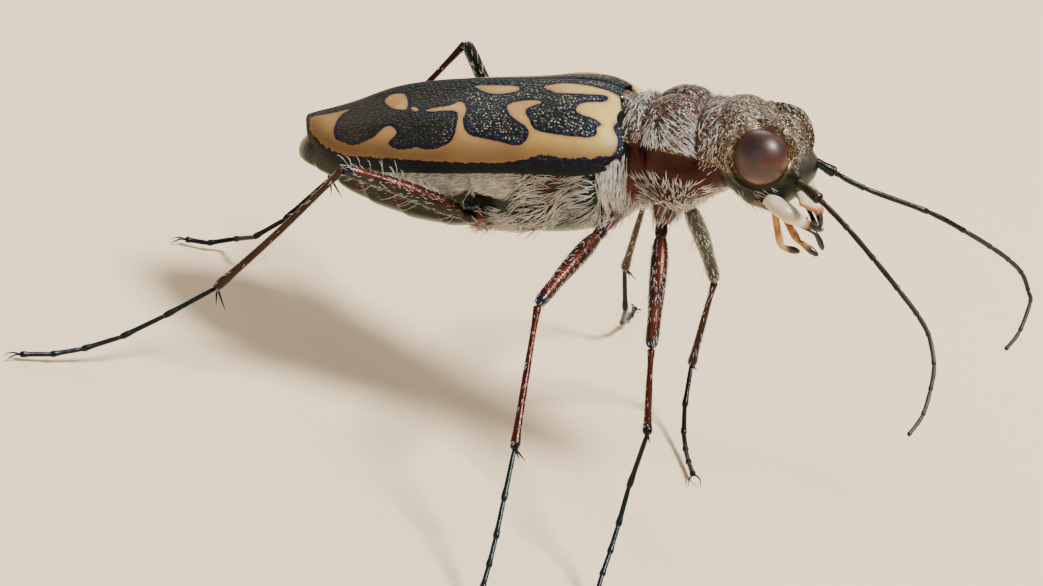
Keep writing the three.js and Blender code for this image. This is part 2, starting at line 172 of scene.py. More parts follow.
def limb_surface(path, thickness, cap=0.08, flat=1.0):
    """A round limb along a path: thickness gives its radius at a share of its length."""
    path = even(path, 60)
    length = np.linalg.norm(np.diff(path, axis=0), axis=1).sum()
    ways = unit(np.gradient(path, axis=0))
    across = [unit(np.cross(ways[0], (0.31, 0.22, 0.93)))]
    for way in ways[1:]:
        across.append(unit(across[-1] - way * (across[-1] @ way)))
    across = np.array(across)
    beside = np.cross(ways, across)
    shares = np.linspace(0, 1, len(path))

    def surface(along, turn):
        depth = float(min(thickness(0.0), thickness(1.0)) / length)
        share, full = rounded(along, cap, min(depth, 0.3))
        radius = thickness(share) * full
        angle = 2 * math.pi * turn

        def at(rows):
            return np.stack([np.interp(share, shares, rows[:, k]) for k in range(3)], -1)

        a = (radius * np.cos(angle))[..., None] * at(across)
        b = (radius * flat * np.sin(angle))[..., None] * at(beside)
        return at(path) + a + b

    return surface


def lay(surface, along, turn):
    """Points of a surface, its outward normals and the area that a step covers there."""
    small = 1e-3
    point = surface(along, turn)
    forth = surface(np.clip(along + small, 0, 1), turn) - surface(np.clip(along - small, 0, 1), turn)
    round_ = surface(along, turn + small) - surface(along, turn - small)
    normal = np.cross(forth, round_)
    area = np.linalg.norm(normal, axis=-1)
    opposite = surface(along, turn + 0.5)
    normal = unit(normal)
    facing = np.sign(np.sum(normal * (point - opposite), -1, keepdims=True))
    return point, normal * np.where(facing == 0, 1, facing), area


# Meshes


def finish(bm, name, place, material, slot, *nodes):
    """Turns a bmesh in mm into a finished piece that rides on the body."""
    bmesh.ops.recalc_face_normals(bm, faces=bm.faces)
    mesh = bpy.data.meshes.new(name)
    bm.to_mesh(mesh)
    bm.free()
    return settle(mesh, name, place, material, slot, *nodes)


def settle(mesh, name, place, material, slot, *nodes):
    mesh.transform(place)
    mesh.shade_smooth()
    mesh.materials.append(material)
    obj = bpy.data.objects.new(name, mesh)
    bpy.context.scene.collection.objects.link(obj)
    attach(obj, BODY)
    if nodes:
        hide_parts(*nodes)
    return obj


def wrap(surface, rings, sides, shade=lambda along: along):
    """A closed skin laid on a surface. Its attribute "along" keeps shade(share along the surface)."""
    bm = bmesh.new()
    bmesh.ops.create_uvsphere(bm, u_segments=sides, v_segments=rings, radius=1)
    unit_ball = np.array([v.co for v in bm.verts])
    along = np.arccos(np.clip(unit_ball[:, 2], -1, 1)) / math.pi
    turn = np.arctan2(unit_ball[:, 1], unit_ball[:, 0]) / (2 * math.pi) % 1
    layer = bm.verts.layers.float.new("along")
    for vert, point, value in zip(bm.verts, surface(along, turn), shade(along)):
        vert.co = point
        vert[layer] = float(value)
    return bm


def store(mesh, name, values):
    attribute = mesh.attributes.new(name, "FLOAT", "POINT")
    attribute.data.foreach_set("value", np.asarray(values, np.float32))


def skin(name, surface, rings, sides, place, material, slot, *nodes, marks):
    """A closed skin as a piece. marks gives named vertex attributes from its points in mm."""
    bm = wrap(surface, rings, sides)
    points = np.array([v.co for v in bm.verts])
    obj = finish(bm, name, place, material, slot, *nodes)
    for mark, values in marks(points).items():
        store(obj.data, mark, values)
    return obj


def joined(name, meshes, place, material, slot, *nodes):
    """Several bmeshes as one piece, marked with how far each vertex faces forward, out and up, which places
    the painted highlight and painted shade of the limb finishes.
    """
    whole = bmesh.new()
    for bm in meshes:
        bmesh.ops.recalc_face_normals(bm, faces=bm.faces)
        mesh = bpy.data.meshes.new("part")
        bm.to_mesh(mesh)
        bm.free()
        whole.from_mesh(mesh)
        bpy.data.meshes.remove(mesh)
    obj = finish(whole, name, place, material, slot, *nodes)
    normals = np.empty(len(obj.data.vertices) * 3)
    obj.data.vertices.foreach_get("normal", normals)
    normals = normals.reshape(-1, 3)
    spots = np.empty(len(obj.data.vertices) * 3)
    obj.data.vertices.foreach_get("co", spots)
    normals[:, 1] *= np.sign(spots[1::3] - CENTRE_SHIFT[1] * MM)
    # How far each vertex turns forward, out and up: limb finishes paint a highlight there and shade away from
    # it
    store(obj.data, "facing", normals @ PAINTED_LIGHT_WAY)
    return obj


# Materials


def paint(code):
    """An sRGB hex colour as the linear colour that shaders use."""
    parts = [int(code[i : i + 2], 16) / 255 for i in (1, 3, 5)]
    linear = [p / 12.92 if p <= 0.04045 else ((p + 0.055) / 1.055) ** 2.4 for p in parts]
    return (*linear, 1.0)


def per_mm(spacing):
    """The texture scale that puts one cell or wave to every spacing mm."""
    return 1 / (spacing * MM)


def add(tree, kind, settings=None, inputs=None):
    """Adds a node. settings are its properties, or stops for a colour ramp; inputs are values or links."""
    node = tree.nodes.new(kind)
    for key, value in (settings or {}).items():
        if key == "stops":
            ramp = node.color_ramp
            while len(ramp.elements) < len(value):
                ramp.elements.new(0.5)
            for element, (position, colour) in zip(ramp.elements, value):
                element.position = position
                element.color = paint(colour) if isinstance(colour, str) else (colour,) * 3 + (1,)
        else:
            setattr(node, key, value)
    for key, value in (inputs or {}).items():
        socket = node.inputs[key]
        if isinstance(value, bpy.types.NodeSocket):
            tree.links.new(value, socket)
        else:
            socket.default_value = value
    return node


def shader(name, **sockets):
    """A material with one Principled shader, whose uniform values are set on its own sockets."""
    material = bpy.data.materials.new(name)
    material.use_nodes = True
    tree = material.node_tree
    tree.nodes.clear()
    inputs = {key.replace("_", " "): value for key, value in sockets.items()}
    surface = add(tree, "ShaderNodeBsdfPrincipled", inputs=inputs)
    add(tree, "ShaderNodeOutputMaterial", inputs={"Surface": surface.outputs["BSDF"]})
    place = add(tree, "ShaderNodeTexCoord").outputs["Object"]
    return material, tree, surface, place


def mix(tree, factor, a, b):
    settings = {"data_type": "RGBA", "blend_type": "MIX", "clamp_factor": True}
    return add(tree, "ShaderNodeMix", settings, {0: factor, 6: a, 7: b}).outputs[2]


def marked(tree, name):
    """The value that a skin's points keep under a name."""
    return add(tree, "ShaderNodeAttribute", {"attribute_name": name}).outputs["Fac"]


def worked(tree, operation, *values):
    """A sum done on values or links."""
    return add(tree, "ShaderNodeMath", {"operation": operation}, dict(enumerate(values))).outputs[0]


def coloured(tree, surface, colour):
    tree.links.new(colour, surface.inputs["Base Color"])


def tints(tree, place, spacing, stops, detail=2.0):
    """Soft patches of colour, about spacing mm across."""
    inputs = {"Vector": place, "Scale": per_mm(spacing), "Detail": detail}
    noise = add(tree, "ShaderNodeTexNoise", inputs=inputs)
    return add(tree, "ShaderNodeValToRGB", {"stops": stops}, {"Fac": noise.outputs["Fac"]}).outputs["Color"]


def grains(tree, place, spacing, stops):
    """Grains of cuticle about spacing mm across, each with one colour of the ramp, and their relief."""
    cells = add(tree, "ShaderNodeTexVoronoi", {"feature": "F1"}, {"Vector": place, "Scale": per_mm(spacing)})
    split = add(tree, "ShaderNodeSeparateColor", inputs={"Color": cells.outputs["Color"]})
    colour = add(tree, "ShaderNodeValToRGB", {"stops": stops}, {"Fac": split.outputs["Red"]})
    return colour.outputs["Color"], cells.outputs["Distance"]


def relief(tree, surface, height, depth, strength=1.0, after=None):
    """Bumps the surface by a height from 0 to 1, depth mm deep."""
    inputs = {"Height": height, "Distance": depth * MM, "Strength": strength}
    if after:
        inputs["Normal"] = after
    bump = add(tree, "ShaderNodeBump", inputs=inputs).outputs["Normal"]
    tree.links.new(bump, surface.inputs["Normal"])
    return bump


def ranged(tree, value, low, high, to_low=0.0, to_high=1.0):
    settings = {"clamp": True, "interpolation_type": "SMOOTHSTEP"}
    inputs = {0: value, 1: low, 2: high, 3: to_low, 4: to_high}
    return add(tree, "ShaderNodeMapRange", settings, inputs).outputs[0]


# Cuticle of the head and pronotum: chitin set with fine grains over dull brown, each grain tinted copper,
# pink, green or grey, some painted near-white as glints; its metal sheen shines where they turn to the light.
# Low down on the cheeks it is smooth dark green.
def granular_cuticle():
    material, tree, surface, place = shader(
        "granular_copper_cuticle", Metallic=0.55, Roughness=0.38, Specular_IOR_Level=0.3
    )
    stops = [(0.3, "#1c2118"), (0.5, "#30261b"), (0.62, "#432c22"), (0.75, "#1a3024")]
    ground = tints(tree, place, 0.8, stops)
    # Each grain takes one colour of the ramp: copper, pink, green and grey tones, with near-white at its top
    # end as painted glints
    grain_tint_and_painted_glint, distance = grains(
        tree, place, 0.042,
        [(0.0, "#1b1c14"), (0.3, "#4a3e30"), (0.5, "#87674f"), (0.66, "#c29a80"), (0.76, "#46705a"),
         (0.86, "#93998f"), (1.0, "#fff0d4")],
    )
    upper = mix(tree, 0.64, ground, grain_tint_and_painted_glint)
    level = marked(tree, "level")
    orbit = marked(tree, "orbit")
    green = tints(tree, place, 0.5, [(0.3, "#06110e"), (0.5, "#0a1e19"), (0.7, "#1c130a")])
    cheek = ranged(tree, level, -0.75, -0.25)
    colour = mix(tree, cheek, green, upper)
    gold = ranged(tree, orbit, 0.02, 0.14, 0.4, 0.0)
    coloured(tree, surface, mix(tree, gold, colour, paint("#7d6433")))
    ripple = worked(tree, "MULTIPLY", orbit, 2 * math.pi / STRIA_SPACING)
    wave = worked(tree, "SINE", ripple)
    near = ranged(tree, orbit, 0.05, 0.3)
    lines = relief(tree, surface, wave, 0.007, 0.5)
    height = worked(tree, "MULTIPLY", distance, near)
    kept = worked(tree, "MULTIPLY", height, cheek)
    relief(tree, surface, kept, 0.022, 0.9, lines)
    return material


# Limb bases: clear deep red-brown chitin, smooth and glossy as varnished wood.
def flank_cuticle():
    material, tree, surface, place = shader(
        "red_brown_cuticle", Metallic=0.25, Roughness=0.24, Coat_Weight=0.4, Coat_Roughness=0.12
    )
    stops = [(0.3, "#250807"), (0.5, "#470f0b"), (0.65, "#5e1f10"), (0.8, "#1f120e")]
    ground = tints(tree, place, 0.7, stops)
    coloured(tree, surface, ground)
    fine = add(tree, "ShaderNodeTexNoise", inputs={"Vector": place, "Scale": per_mm(0.12), "Detail": 3.0})
    relief(tree, surface, fine.outputs["Fac"], 0.01, 0.5)
    return material


# Prothorax: dark grains tinted pink and green above its side edge, some painted near-white as glints,
# bare glossy dark red below it, evenly so where it runs back to the wing cases.
def thorax_cuticle():
    material, tree, surface, place = shader(
        "prothorax_cuticle", Metallic=0.5, Roughness=0.34, Specular_IOR_Level=0.3
    )
    stops = [(0.3, "#1d211b"), (0.5, "#2e241e"), (0.62, "#45291f"), (0.75, "#16302a")]
    ground = tints(tree, place, 0.7, stops)
    # Each grain takes one colour of the ramp: pink, green and grey tones, with near-white at its top end as
    # painted glints
    grain_tint_and_painted_glint, distance = grains(
        tree, place, 0.045,
        [(0.0, "#171913"), (0.34, "#3b3027"), (0.52, "#7a5340"), (0.66, "#b9836f"), (0.77, "#3f6a54"),
         (0.88, "#7d878a"), (1.0, "#f8e6cc")],
    )
    above = mix(tree, 0.6, ground, grain_tint_and_painted_glint)
    forward = marked(tree, "forward")
    dark = tints(tree, place, 0.6, [(0.3, "#140504"), (0.5, "#260906"), (0.66, "#360f07"), (0.8, "#120c09")])
    below = mix(tree, ranged(tree, forward, 0.9, 1.9, 0.75, 0.0), dark, paint("#351007"))
    side = marked(tree, "edge")
    split = ranged(tree, side, -0.02, 0.02)
    coloured(tree, surface, mix(tree, split, below, above))
    height = worked(tree, "MULTIPLY", distance, split)
    relief(tree, surface, height, 0.024, 0.9)
    return material


# Underside: black-green chitin, red-brown on the sides of the middle thorax, green gloss along the belly, and
# pale where short down lies flat and dense on it.
def belly_cuticle():
    material, tree, surface, place = shader("green_black_cuticle", Specular_IOR_Level=0.3)
    stops = [(0.32, "#0b1310"), (0.45, "#10241b"), (0.55, "#191c17"), (0.66, "#2f110b"), (0.78, "#3a170d")]
    ground = tints(tree, place, 0.8, stops)
    forward = marked(tree, "forward")
    level = marked(tree, "level")
    red = ranged(tree, forward, -0.2, 0.25, 0.0, 0.8)
    low = ranged(tree, level, -0.15, 0.15, 1.0, 0.0)
    share = worked(tree, "MULTIPLY", red, low)
    ruddy = mix(tree, share, ground, paint("#4c110a"))
    keel = ranged(tree, level, -2.1, -1.75, 0.8, 0.0)
    bare = mix(tree, keel, ruddy, paint("#1d4a33"))
    downy = marked(tree, "downy")
    down = tints(tree, place, 0.12, [(0.3, "#6f6b64"), (0.5, "#8f8a81"), (0.7, "#a8a39a")], 4.0)
    coloured(tree, surface, mix(tree, downy, bare, down))
    tree.links.new(ranged(tree, downy, 0.0, 0.6, 0.5, 0.0), surface.inputs["Metallic"])
    tree.links.new(ranged(tree, downy, 0.0, 0.6, 0.3, 0.8), surface.inputs["Roughness"])
    _, distance = grains(tree, place, 0.06, [(0.0, 0.0), (1.0, 1.0)])
    relief(tree, surface, distance, 0.012, 0.6)
    return material


# Wing case: hard matt chitin, cream where it has no pigment, else olive-black, with a pit every 0.07 mm whose
# bottom is tinted blue, teal or gold, some of them painted near-white as glints, and a blue-violet rim round
# every dark patch. The cream is darkened with painted shade where the case turns down to its margin.
def wing_material():
    material, tree, surface, place = shader("wing_case_cuticle", Specular_IOR_Level=0.14)
    mark = marked(tree, "marking")
    seam = marked(tree, "across")
    front = marked(tree, "forward")
    under = marked(tree, "under")
    wobble = add(tree, "ShaderNodeTexNoise", inputs={"Vector": place, "Scale": per_mm(0.14), "Detail": 2.0})
    low_edge = ranged(tree, under, -0.7, -0.3, 0.014, 0.06)
    centred = worked(tree, "SUBTRACT", wobble.outputs["Fac"], 0.5)
    shift = worked(tree, "MULTIPLY", centred, low_edge)
    wide = worked(tree, "MULTIPLY", shift, 3.0)
    edge = worked(tree, "ADD", mark, wide)

    cream = tints(tree, place, 0.8, [(0.3, "#a37d49"), (0.5, "#b28c54"), (0.7, "#bf9b60")])
    rear = mix(tree, ranged(tree, front, -7.6, -5.4, 0.45, 0.0), cream, paint("#7d6040"))
    pale = mix(tree, ranged(tree, front, -2.4, 0.1, 0.0, 0.7), rear, paint("#d3b868"))
    # Painted shade: the cream darkens to brown on the under side, where the case turns down to its margin
    painted_shade = mix(tree, ranged(tree, under, -1.15, -0.3, 0.0, 0.75), pale, paint("#573f2c"))
    warm = mix(tree, ranged(tree, edge, 0.0, 0.12, 0.55, 0.0), painted_shade, paint("#8f6434"))

    olive = tints(tree, place, 0.5, [(0.3, "#1b1a15"), (0.5, "#26231c"), (0.7, "#1a211b")])
    grid = {"Vector": place, "Scale": per_mm(0.068), "Randomness": 0.75}
    pits = add(tree, "ShaderNodeTexVoronoi", {"feature": "F1"}, grid)
    drawn = add(tree, "ShaderNodeSeparateColor", inputs={"Color": pits.outputs["Color"]})
    distance = pits.outputs["Distance"]
    # Pit colours: blue, teal and gold tones, with near-white ones painted as glints
    pit_tint_and_painted_glint = add(
        tree, "ShaderNodeValToRGB",
        {"stops": [(0.0, "#34423c"), (0.22, "#42636a"), (0.36, "#47568a"), (0.5, "#a1967a"),
                   (0.68, "#c9c7b8"), (0.84, "#5a9187"), (1.0, "#fff2d6")]},
        {"Fac": drawn.outputs["Green"]},
    ).outputs["Color"]
    # More of the pits and their painted glints show towards the base
    pit_and_glint_share = ranged(tree, front, -4.7, -3.6, 0.16, 0.9)
    dot = ranged(tree, distance, 0.2, 0.42, 1.0, 0.0)
    seen = worked(tree, "MULTIPLY", dot, pit_and_glint_share)
    blue = ranged(tree, edge, -0.3, -0.05, 0.0, 0.3)
    ground = mix(tree, blue, olive, paint("#171b3a"))
    dark = mix(tree, seen, ground, pit_tint_and_painted_glint)
    rim = mix(tree, ranged(tree, edge, -0.13, -0.05, 0.0, 0.85), dark, paint("#10122c"))
    seam_band = mix(tree, ranged(tree, seam, 0.06, 0.3, 0.75, 0.0), rim, paint("#141d24"))
    border = mix(tree, ranged(tree, under, -0.4, -0.25, 0.0, 0.95), seam_band, paint("#090817"))
    green = mix(tree, ranged(tree, under, -0.04, 0.01, 0.0, 0.92), border, paint("#0a1a13"))
    covered = ranged(tree, edge, -0.012, 0.012)
    coloured(tree, surface, mix(tree, covered, green, warm))
    matt = ranged(tree, under, -0.4, -0.2)
    lustre = ranged(tree, matt, 0.0, 1.0, 0.3, 0.06)
    tree.links.new(mix(tree, covered, lustre, (0, 0, 0, 1)), surface.inputs["Metallic"])
    tree.links.new(ranged(tree, matt, 0.0, 1.0, 0.44, 0.6), surface.inputs["Roughness"])
    depth = ranged(tree, covered, 0.0, 1.0, 1.0, 0.1)
    height = worked(tree, "MULTIPLY", distance, depth)
    relief(tree, surface, height, 0.03, 0.9)
    return material


# Compound eye: lens cuticle over dark red-brown pigment, with a soft grey gloss, its facets hardly showing.
def eye_material():
    material, tree, surface, place = shader(
        "lens_cuticle", Roughness=0.42, Coat_Weight=0.12, Coat_Roughness=0.2, Specular_IOR_Level=0.5
    )
    ground = tints(tree, place, 0.7, [(0.3, "#1c0f0e"), (0.5, "#331714"), (0.7, "#4e2219")])
    coloured(tree, surface, ground)
    _, distance = grains(tree, place, 0.03, [(0.0, 0.0), (1.0, 1.0)])
    relief(tree, surface, distance, 0.005, 0.3)
    return material


# Labrum and jaws: bare ivory chitin, smooth as bone china, rust-brown at the edge and black at the teeth.
def ivory_material():
    material, tree, surface, place = shader(
        "ivory_chitin", Roughness=0.3, Coat_Weight=0.3, Coat_Roughness=0.15
    )
    depth = marked(tree, "along")
    ground = tints(tree, place, 0.5, [(0.3, "#b9a98a"), (0.5, "#cfc3a6"), (0.7, "#dcd3bf")])
    rust = mix(tree, ranged(tree, depth, 0.3, 0.55), ground, paint("#a8622c"))
    brown = mix(tree, ranged(tree, depth, 0.55, 0.66), rust, paint("#3a1a0c"))
    coloured(tree, surface, mix(tree, ranged(tree, depth, 0.66, 0.72), brown, paint("#0b0a0c")))
    return material


def palp_material(name, colours, low, high):
    """Clear chitin, as if lit from inside, going black between two shares of the palp's length."""
    material, tree, surface, place = shader(name, Roughness=0.3, Coat_Weight=0.3)
    depth = marked(tree, "along")
    ground = tints(tree, place, 0.3, [(0.3, colours[0]), (0.5, colours[1]), (0.7, colours[2])])
    dark = mix(tree, ranged(tree, depth, low, high), ground, paint("#14120f"))
    coloured(tree, surface, dark)
    return material


def limb_material(name, painted_highlight, painted_shade, joint, roughness=0.27, metallic=0.6):
    """Limb chitin with a painted highlight on the side that faces forward, out and up, painted shade on the
    side away from it, and a joint colour towards its lower joint.
    """
    material, tree, surface, place = shader(name, Metallic=metallic, Roughness=roughness)
    facing = marked(tree, "facing")
    along = marked(tree, "along")
    highlight_tint = tints(tree, place, 0.5, [(0.35, painted_highlight[0]), (0.65, painted_highlight[1])], 3.0)
    shade_tint = tints(tree, place, 0.5, [(0.35, painted_shade[0]), (0.65, painted_shade[1])], 3.0)
    # Painted light: the highlight colours where a vertex faces forward, out and up, the painted shade colours
    # where it faces away
    side = mix(tree, ranged(tree, facing, 0.5, 0.98), shade_tint, highlight_tint)
    low, high = joint[1:]
    ended = mix(tree, ranged(tree, along, low, high), side, paint(joint[0]))
    knob = ranged(tree, along, -0.6, -0.2, 1.0, 0.0)
    coloured(tree, surface, mix(tree, knob, ended, paint("#20120c")))
    _, distance = grains(tree, place, 0.05, [(0.0, 0.0), (1.0, 1.0)])
    relief(tree, surface, distance, 0.01, 0.5)
    return material


# Hair: white chitin setae, solid and glossy as nylon bristle.
def seta_material():
    material, tree, surface, place = shader("white_setae", Roughness=0.35, Specular_IOR_Level=0.5)
    stops = [(0.3, "#bdb9b2"), (0.5, "#d9d6d0"), (0.7, "#efede9")]
    coloured(tree, surface, tints(tree, place, 0.3, stops))
    return material


# Floor: pale sand-coloured board, matt.
def floor_material():
    material, tree, surface, place = shader("matt_board", Roughness=0.9, Specular_IOR_Level=0.2)
    ground = tints(tree, place, 30.0, [(0.3, "#f9dfb6"), (0.7, "#fce4be")])
    coloured(tree, surface, ground)
    return material


FINISHES = {}


def library():
    """Every finish, made once."""
    if not FINISHES:
        made = {
            "granular": granular_cuticle(),
            "thorax": thorax_cuticle(),
            "flank": flank_cuticle(),
            "belly": belly_cuticle(),
            "wing": wing_material(),
            "eye": eye_material(),
            "ivory": ivory_material(),
            # Inner palps: amber, black only at the last joint
            "amber": palp_material("amber_chitin", ("#8a5220", "#b3803c", "#d8bd83"), 0.74, 0.84),
            # Outer palps: brown at the base, then black
            "outer_palp": palp_material("brown_chitin", ("#4a2c18", "#5e3a1e", "#6d4826"), 0.2, 0.4),
            # Thighs: copper red as painted highlight above, black-green as painted shade below, teal-black at
            # the knee
            "femur": limb_material(
                "femur_cuticle", ("#481a12", "#6c3626"), ("#0c130e", "#1c2116"), ("#11232a", 0.9, 0.96)
            ),
            # Shins: red-brown, black only at the foot
            "tibia": limb_material(
                "tibia_cuticle", ("#3c120c", "#5c2216"), ("#200b08", "#2e110c"), ("#0f0a0c", 0.9, 0.99)
            ),
            # Feet: blue-green black, violet at the last joints
            "tarsus": limb_material(
                "tarsus_cuticle", ("#10241f", "#1a1f2a"), ("#090d0e", "#0d0f13"), ("#150f1c", 0.6, 1.0)
            ),
            # First joints of the feelers: green and copper, the copper laid on as painted highlight on the
            # side that faces up, the green as painted shade below
            "scape": limb_material(
                "scape_cuticle", ("#33291c", "#5a452e"), ("#10201a", "#181c16"), ("#1d181e", 0.85, 1.0)
            ),
            # Rest of the feelers: dull grey-green
            "feeler": limb_material(
                "feeler_cuticle", ("#2a2d26", "#343228"), ("#141613", "#1c1d18"), ("#171713", 0.8, 1.0),
                roughness=0.5, metallic=0.15,
            ),
            "seta": seta_material(),
            "floor": floor_material(),
        }
        FINISHES.update(made)
    return FINISHES


# Values that a user may change


class BeetleCoat(bpy.types.PropertyGroup):
    """How the hair grows."""

    thickness: bpy.props.FloatProperty(
        name="Hair thickness",
        description="Radius of a hair at its root, in millimetres",
        default=0.012,
        min=0.005,
        max=0.05,
    )
    length: bpy.props.FloatProperty(
        name="Hair length",
        description="Length of the hair against the photo's",
        default=1.0,
        min=0.2,
        max=2.0,
    )
    density: bpy.props.FloatProperty(
        name="Hair density", description="Number of hairs against the photo's", default=1.0, min=0.1, max=1.5
    )
    seed: bpy.props.IntProperty(name="Seed", description="Start of the random draws", default=7)


class BeetleCamera(bpy.types.PropertyGroup):
    """Where the photo was taken from."""

    azimuth: bpy.props.FloatProperty(
        name="Azimuth",
        description="Turn of the camera from the beetle's right side towards its head",
        default=math.radians(12.5),
        subtype="ANGLE",
    )
    elevation: bpy.props.FloatProperty(
        name="Elevation",
        description="Height of the camera above the floor, as an angle",
        default=math.radians(25.0),
        subtype="ANGLE",
    )
    roll: bpy.props.FloatProperty(
        name="Roll",
        description="Turn of the camera about its own axis",
        default=math.radians(17.4),
        subtype="ANGLE",
    )
    distance: bpy.props.FloatProperty(
        name="Distance", description="From the camera to the beetle", default=0.180, unit="LENGTH"
    )


# The trunk's shapes, in mm, as the solids have them


def thorax_relief(x, y, z, across, up):
    """The prothorax: a groove behind each collar, a furrow between two bulges, a ledge above the flank."""
    upper = step(up, -0.3, 0.4)
    groove = 0.13 * hump(x, 0.86, 0.12) + 0.13 * hump(x, 2.3, 0.11)
    disc = step(x, 0.85, 1.1) * step(-x, -2.3, -2.05)
    furrow = 0.15 * hump(y, 0.0, 0.22) * disc * (up > 0)
    bulge = 0.07 * hump(np.abs(y), 0.62, 0.5) * disc * (up > 0)
    below = flank_edge(x) - z
    ledge = 0.05 * step(-below, -0.02, 0.06) * step(below, -0.3, 0.0)
    flank = 0.07 * step(below, -0.02, 0.05) * step(-below, -0.7, -0.2)
    grow = (ledge - groove) * upper - flank
    return y + grow * across, z + grow * up + bulge - furrow


flank_edge = profile((0.3, 0.34), (0.9, 0.33), (1.4, 0.22), (2.0, 0.05), (2.4, -0.12), (2.9, -0.32))

PROTHORAX = {
    "x": (0.05, 2.95),
    "width": profile(
        (0.05, 1.3), (0.3, 1.4), (0.75, 1.45), (1.5, 1.66), (2.1, 1.54), (2.4, 1.4), (2.95, 1.32)
    ),
    "top": profile(
        (0.05, 1.0), (0.3, 1.16), (0.5, 1.23), (0.7, 1.23), (0.9, 1.2), (1.5, 1.34), (2.05, 1.24),
        (2.3, 1.12), (2.6, 1.11), (2.95, 1.05),
    ),
    "bottom": profile((0.05, -1.62), (0.3, -1.66), (1.2, -1.8), (2, -1.58), (2.95, -1.15)),
    "level": lambda x: -0.15 + 0 * x,
    "square": 2.2,
    "cap": 0.07,
    "depth": 0.035,
    "relief": thorax_relief,
}


HOLLOW_DEPTH = 0.4  # of the dark hollow above the hind hip


def recess(x, z):
    """How strongly a place lies in the dark hollow above the hind hip."""
    return np.exp(-(((x + 3.95) / 1.2) ** 2 + ((z + 1.22) / 0.5) ** 2) * 1.6)


def sternite_relief(x, y, z, across, up):
    """Each belly plate overlaps the next one behind it, with a low step at its rear edge."""
    low = step(-up, -0.1, 0.3)
    edges = (-8.55, -7.85, -7.0, -6.05, -5.0)
    grow = sum(0.035 * step(x, edge, edge + 0.05) * step(-x, -edge - 0.75, -edge) for edge in edges) * low
    grow = grow - HOLLOW_DEPTH * recess(x, z)
    return y + grow * across, z + grow * up * low


ABDOMEN = {
    "x": (-9.35, -3.6),
    "width": profile(
        (-9.35, 0.3), (-9.05, 0.72), (-8.5, 1.1), (-7.9, 1.42), (-6.9, 1.8), (-5.5, 2.1), (-3.6, 2.2)
    ),
    "top": profile((-9.35, 0.0), (-9.05, 0.25), (-8.5, 0.55), (-7, 0.95), (-4.05, 1.1), (-3.6, 1.1)),
    "bottom": profile(
        (-9.35, -0.35), (-8.8, -0.55), (-8.2, -0.8), (-7.6, -1.25), (-6.9, -1.6), (-5.55, -2.08),
        (-3.6, -2.25)
    ),
    "level": profile((-9.35, -0.17), (-8.8, -0.2), (-7.6, -0.35), (-3.6, -0.5)),
    "square": 2.1,
    "cap": 0.08,
    "depth": 0.03,
    "relief": sternite_relief,
}


def breast_relief(x, y, z, across, up):
    """The hind thorax: its side plates are parted by grooves, and it is hollowed above the hind hip."""
    plates = 0.1 * hump(x, -0.32, 0.1) + 0.08 * hump(x, -2.42, 0.1)
    split = 0.06 * hump(z, -1.05, 0.09) * step(x, -2.4, -2.2) * step(-x, 0.35, 0.5)
    grow = -plates - split - HOLLOW_DEPTH * recess(x, z)
    return y + grow * across, z + grow * up * (up < 0)


PTEROTHORAX = {
    "x": (-3.95, 0.7),
    "width": profile(
        (-3.95, 2.15), (-3.4, 2.2), (-1.5, 2.12), (-0.95, 2.02), (-0.3, 1.85), (0.2, 1.62), (0.7, 1.25)
    ),
    "top": profile((-3.95, 1.1), (-0.6, 1.15), (0.05, 1.2), (0.4, 1.1), (0.7, 0.85)),
    "bottom": profile((-3.95, -2.25), (-1.1, -2.32), (-0.3, -2.15), (0.1, -1.85), (0.7, -1.5)),
    "level": lambda x: -0.5 + 0 * x,
    "square": 2.2,
    "cap": 0.08,
    "depth": 0.04,
    "relief": breast_relief,
}

EYE = {"x": 4.0, "y": 1.08, "z": -0.14, "radius": 0.74, "bulge": 0.68}
# The raised cup that an eye sits in, from the head's middle outwards: its radius and how far out it reaches
ORBIT = profile((0, 0.1), (0.3, 0.6), (0.75, 0.74), (0.92, 0.79), (1, 0.1))
ORBIT_REACH = 0.84
STRIA_SPACING = 0.055  # between the fine ridges round an eye


def head_relief(x, y, z, across, up):
    """The head is raised round each eye, and dips between the eyes."""
    away = np.hypot(x - EYE["x"], z - EYE["z"])
    rim = 0.14 * hump(away, EYE["radius"] + 0.07, 0.13) * step(np.abs(y), 0.35, 0.9)
    dip = 0.06 * hump(y, 0.0, 0.6) * hump(x, 4.3, 0.5) * (up > 0)
    return y + rim * across, z - dip + rim * up


HEAD = {
    "x": (2.75, 4.97),
    "width": profile((2.75, 1.2), (3.05, 1.3), (3.4, 1.32), (4, 1.2), (4.5, 1.05), (4.97, 0.82)),
    "top": profile(
        (2.75, 1.02), (2.95, 1.12), (3.2, 1.15), (3.45, 1.11), (3.65, 1.0), (3.85, 0.85), (4.05, 0.69),
        (4.25, 0.48), (4.46, 0.22), (4.7, -0.16), (4.97, -0.72),
    ),
    "bottom": profile(
        (2.75, -1.1), (3.05, -1.35), (3.4, -1.72), (3.7, -1.82), (4.1, -1.82), (4.5, -1.58), (4.97, -1.18)
    ),
    "level": profile((2.75, -0.1), (4.2, -0.45), (4.97, -0.92)),
    "square": 2.3,
    "cap": 0.07,
    "depth": 0.03,
    "relief": head_relief,
}


# Wing cases: one dome, laid from the apex to the base and from the suture to the margin

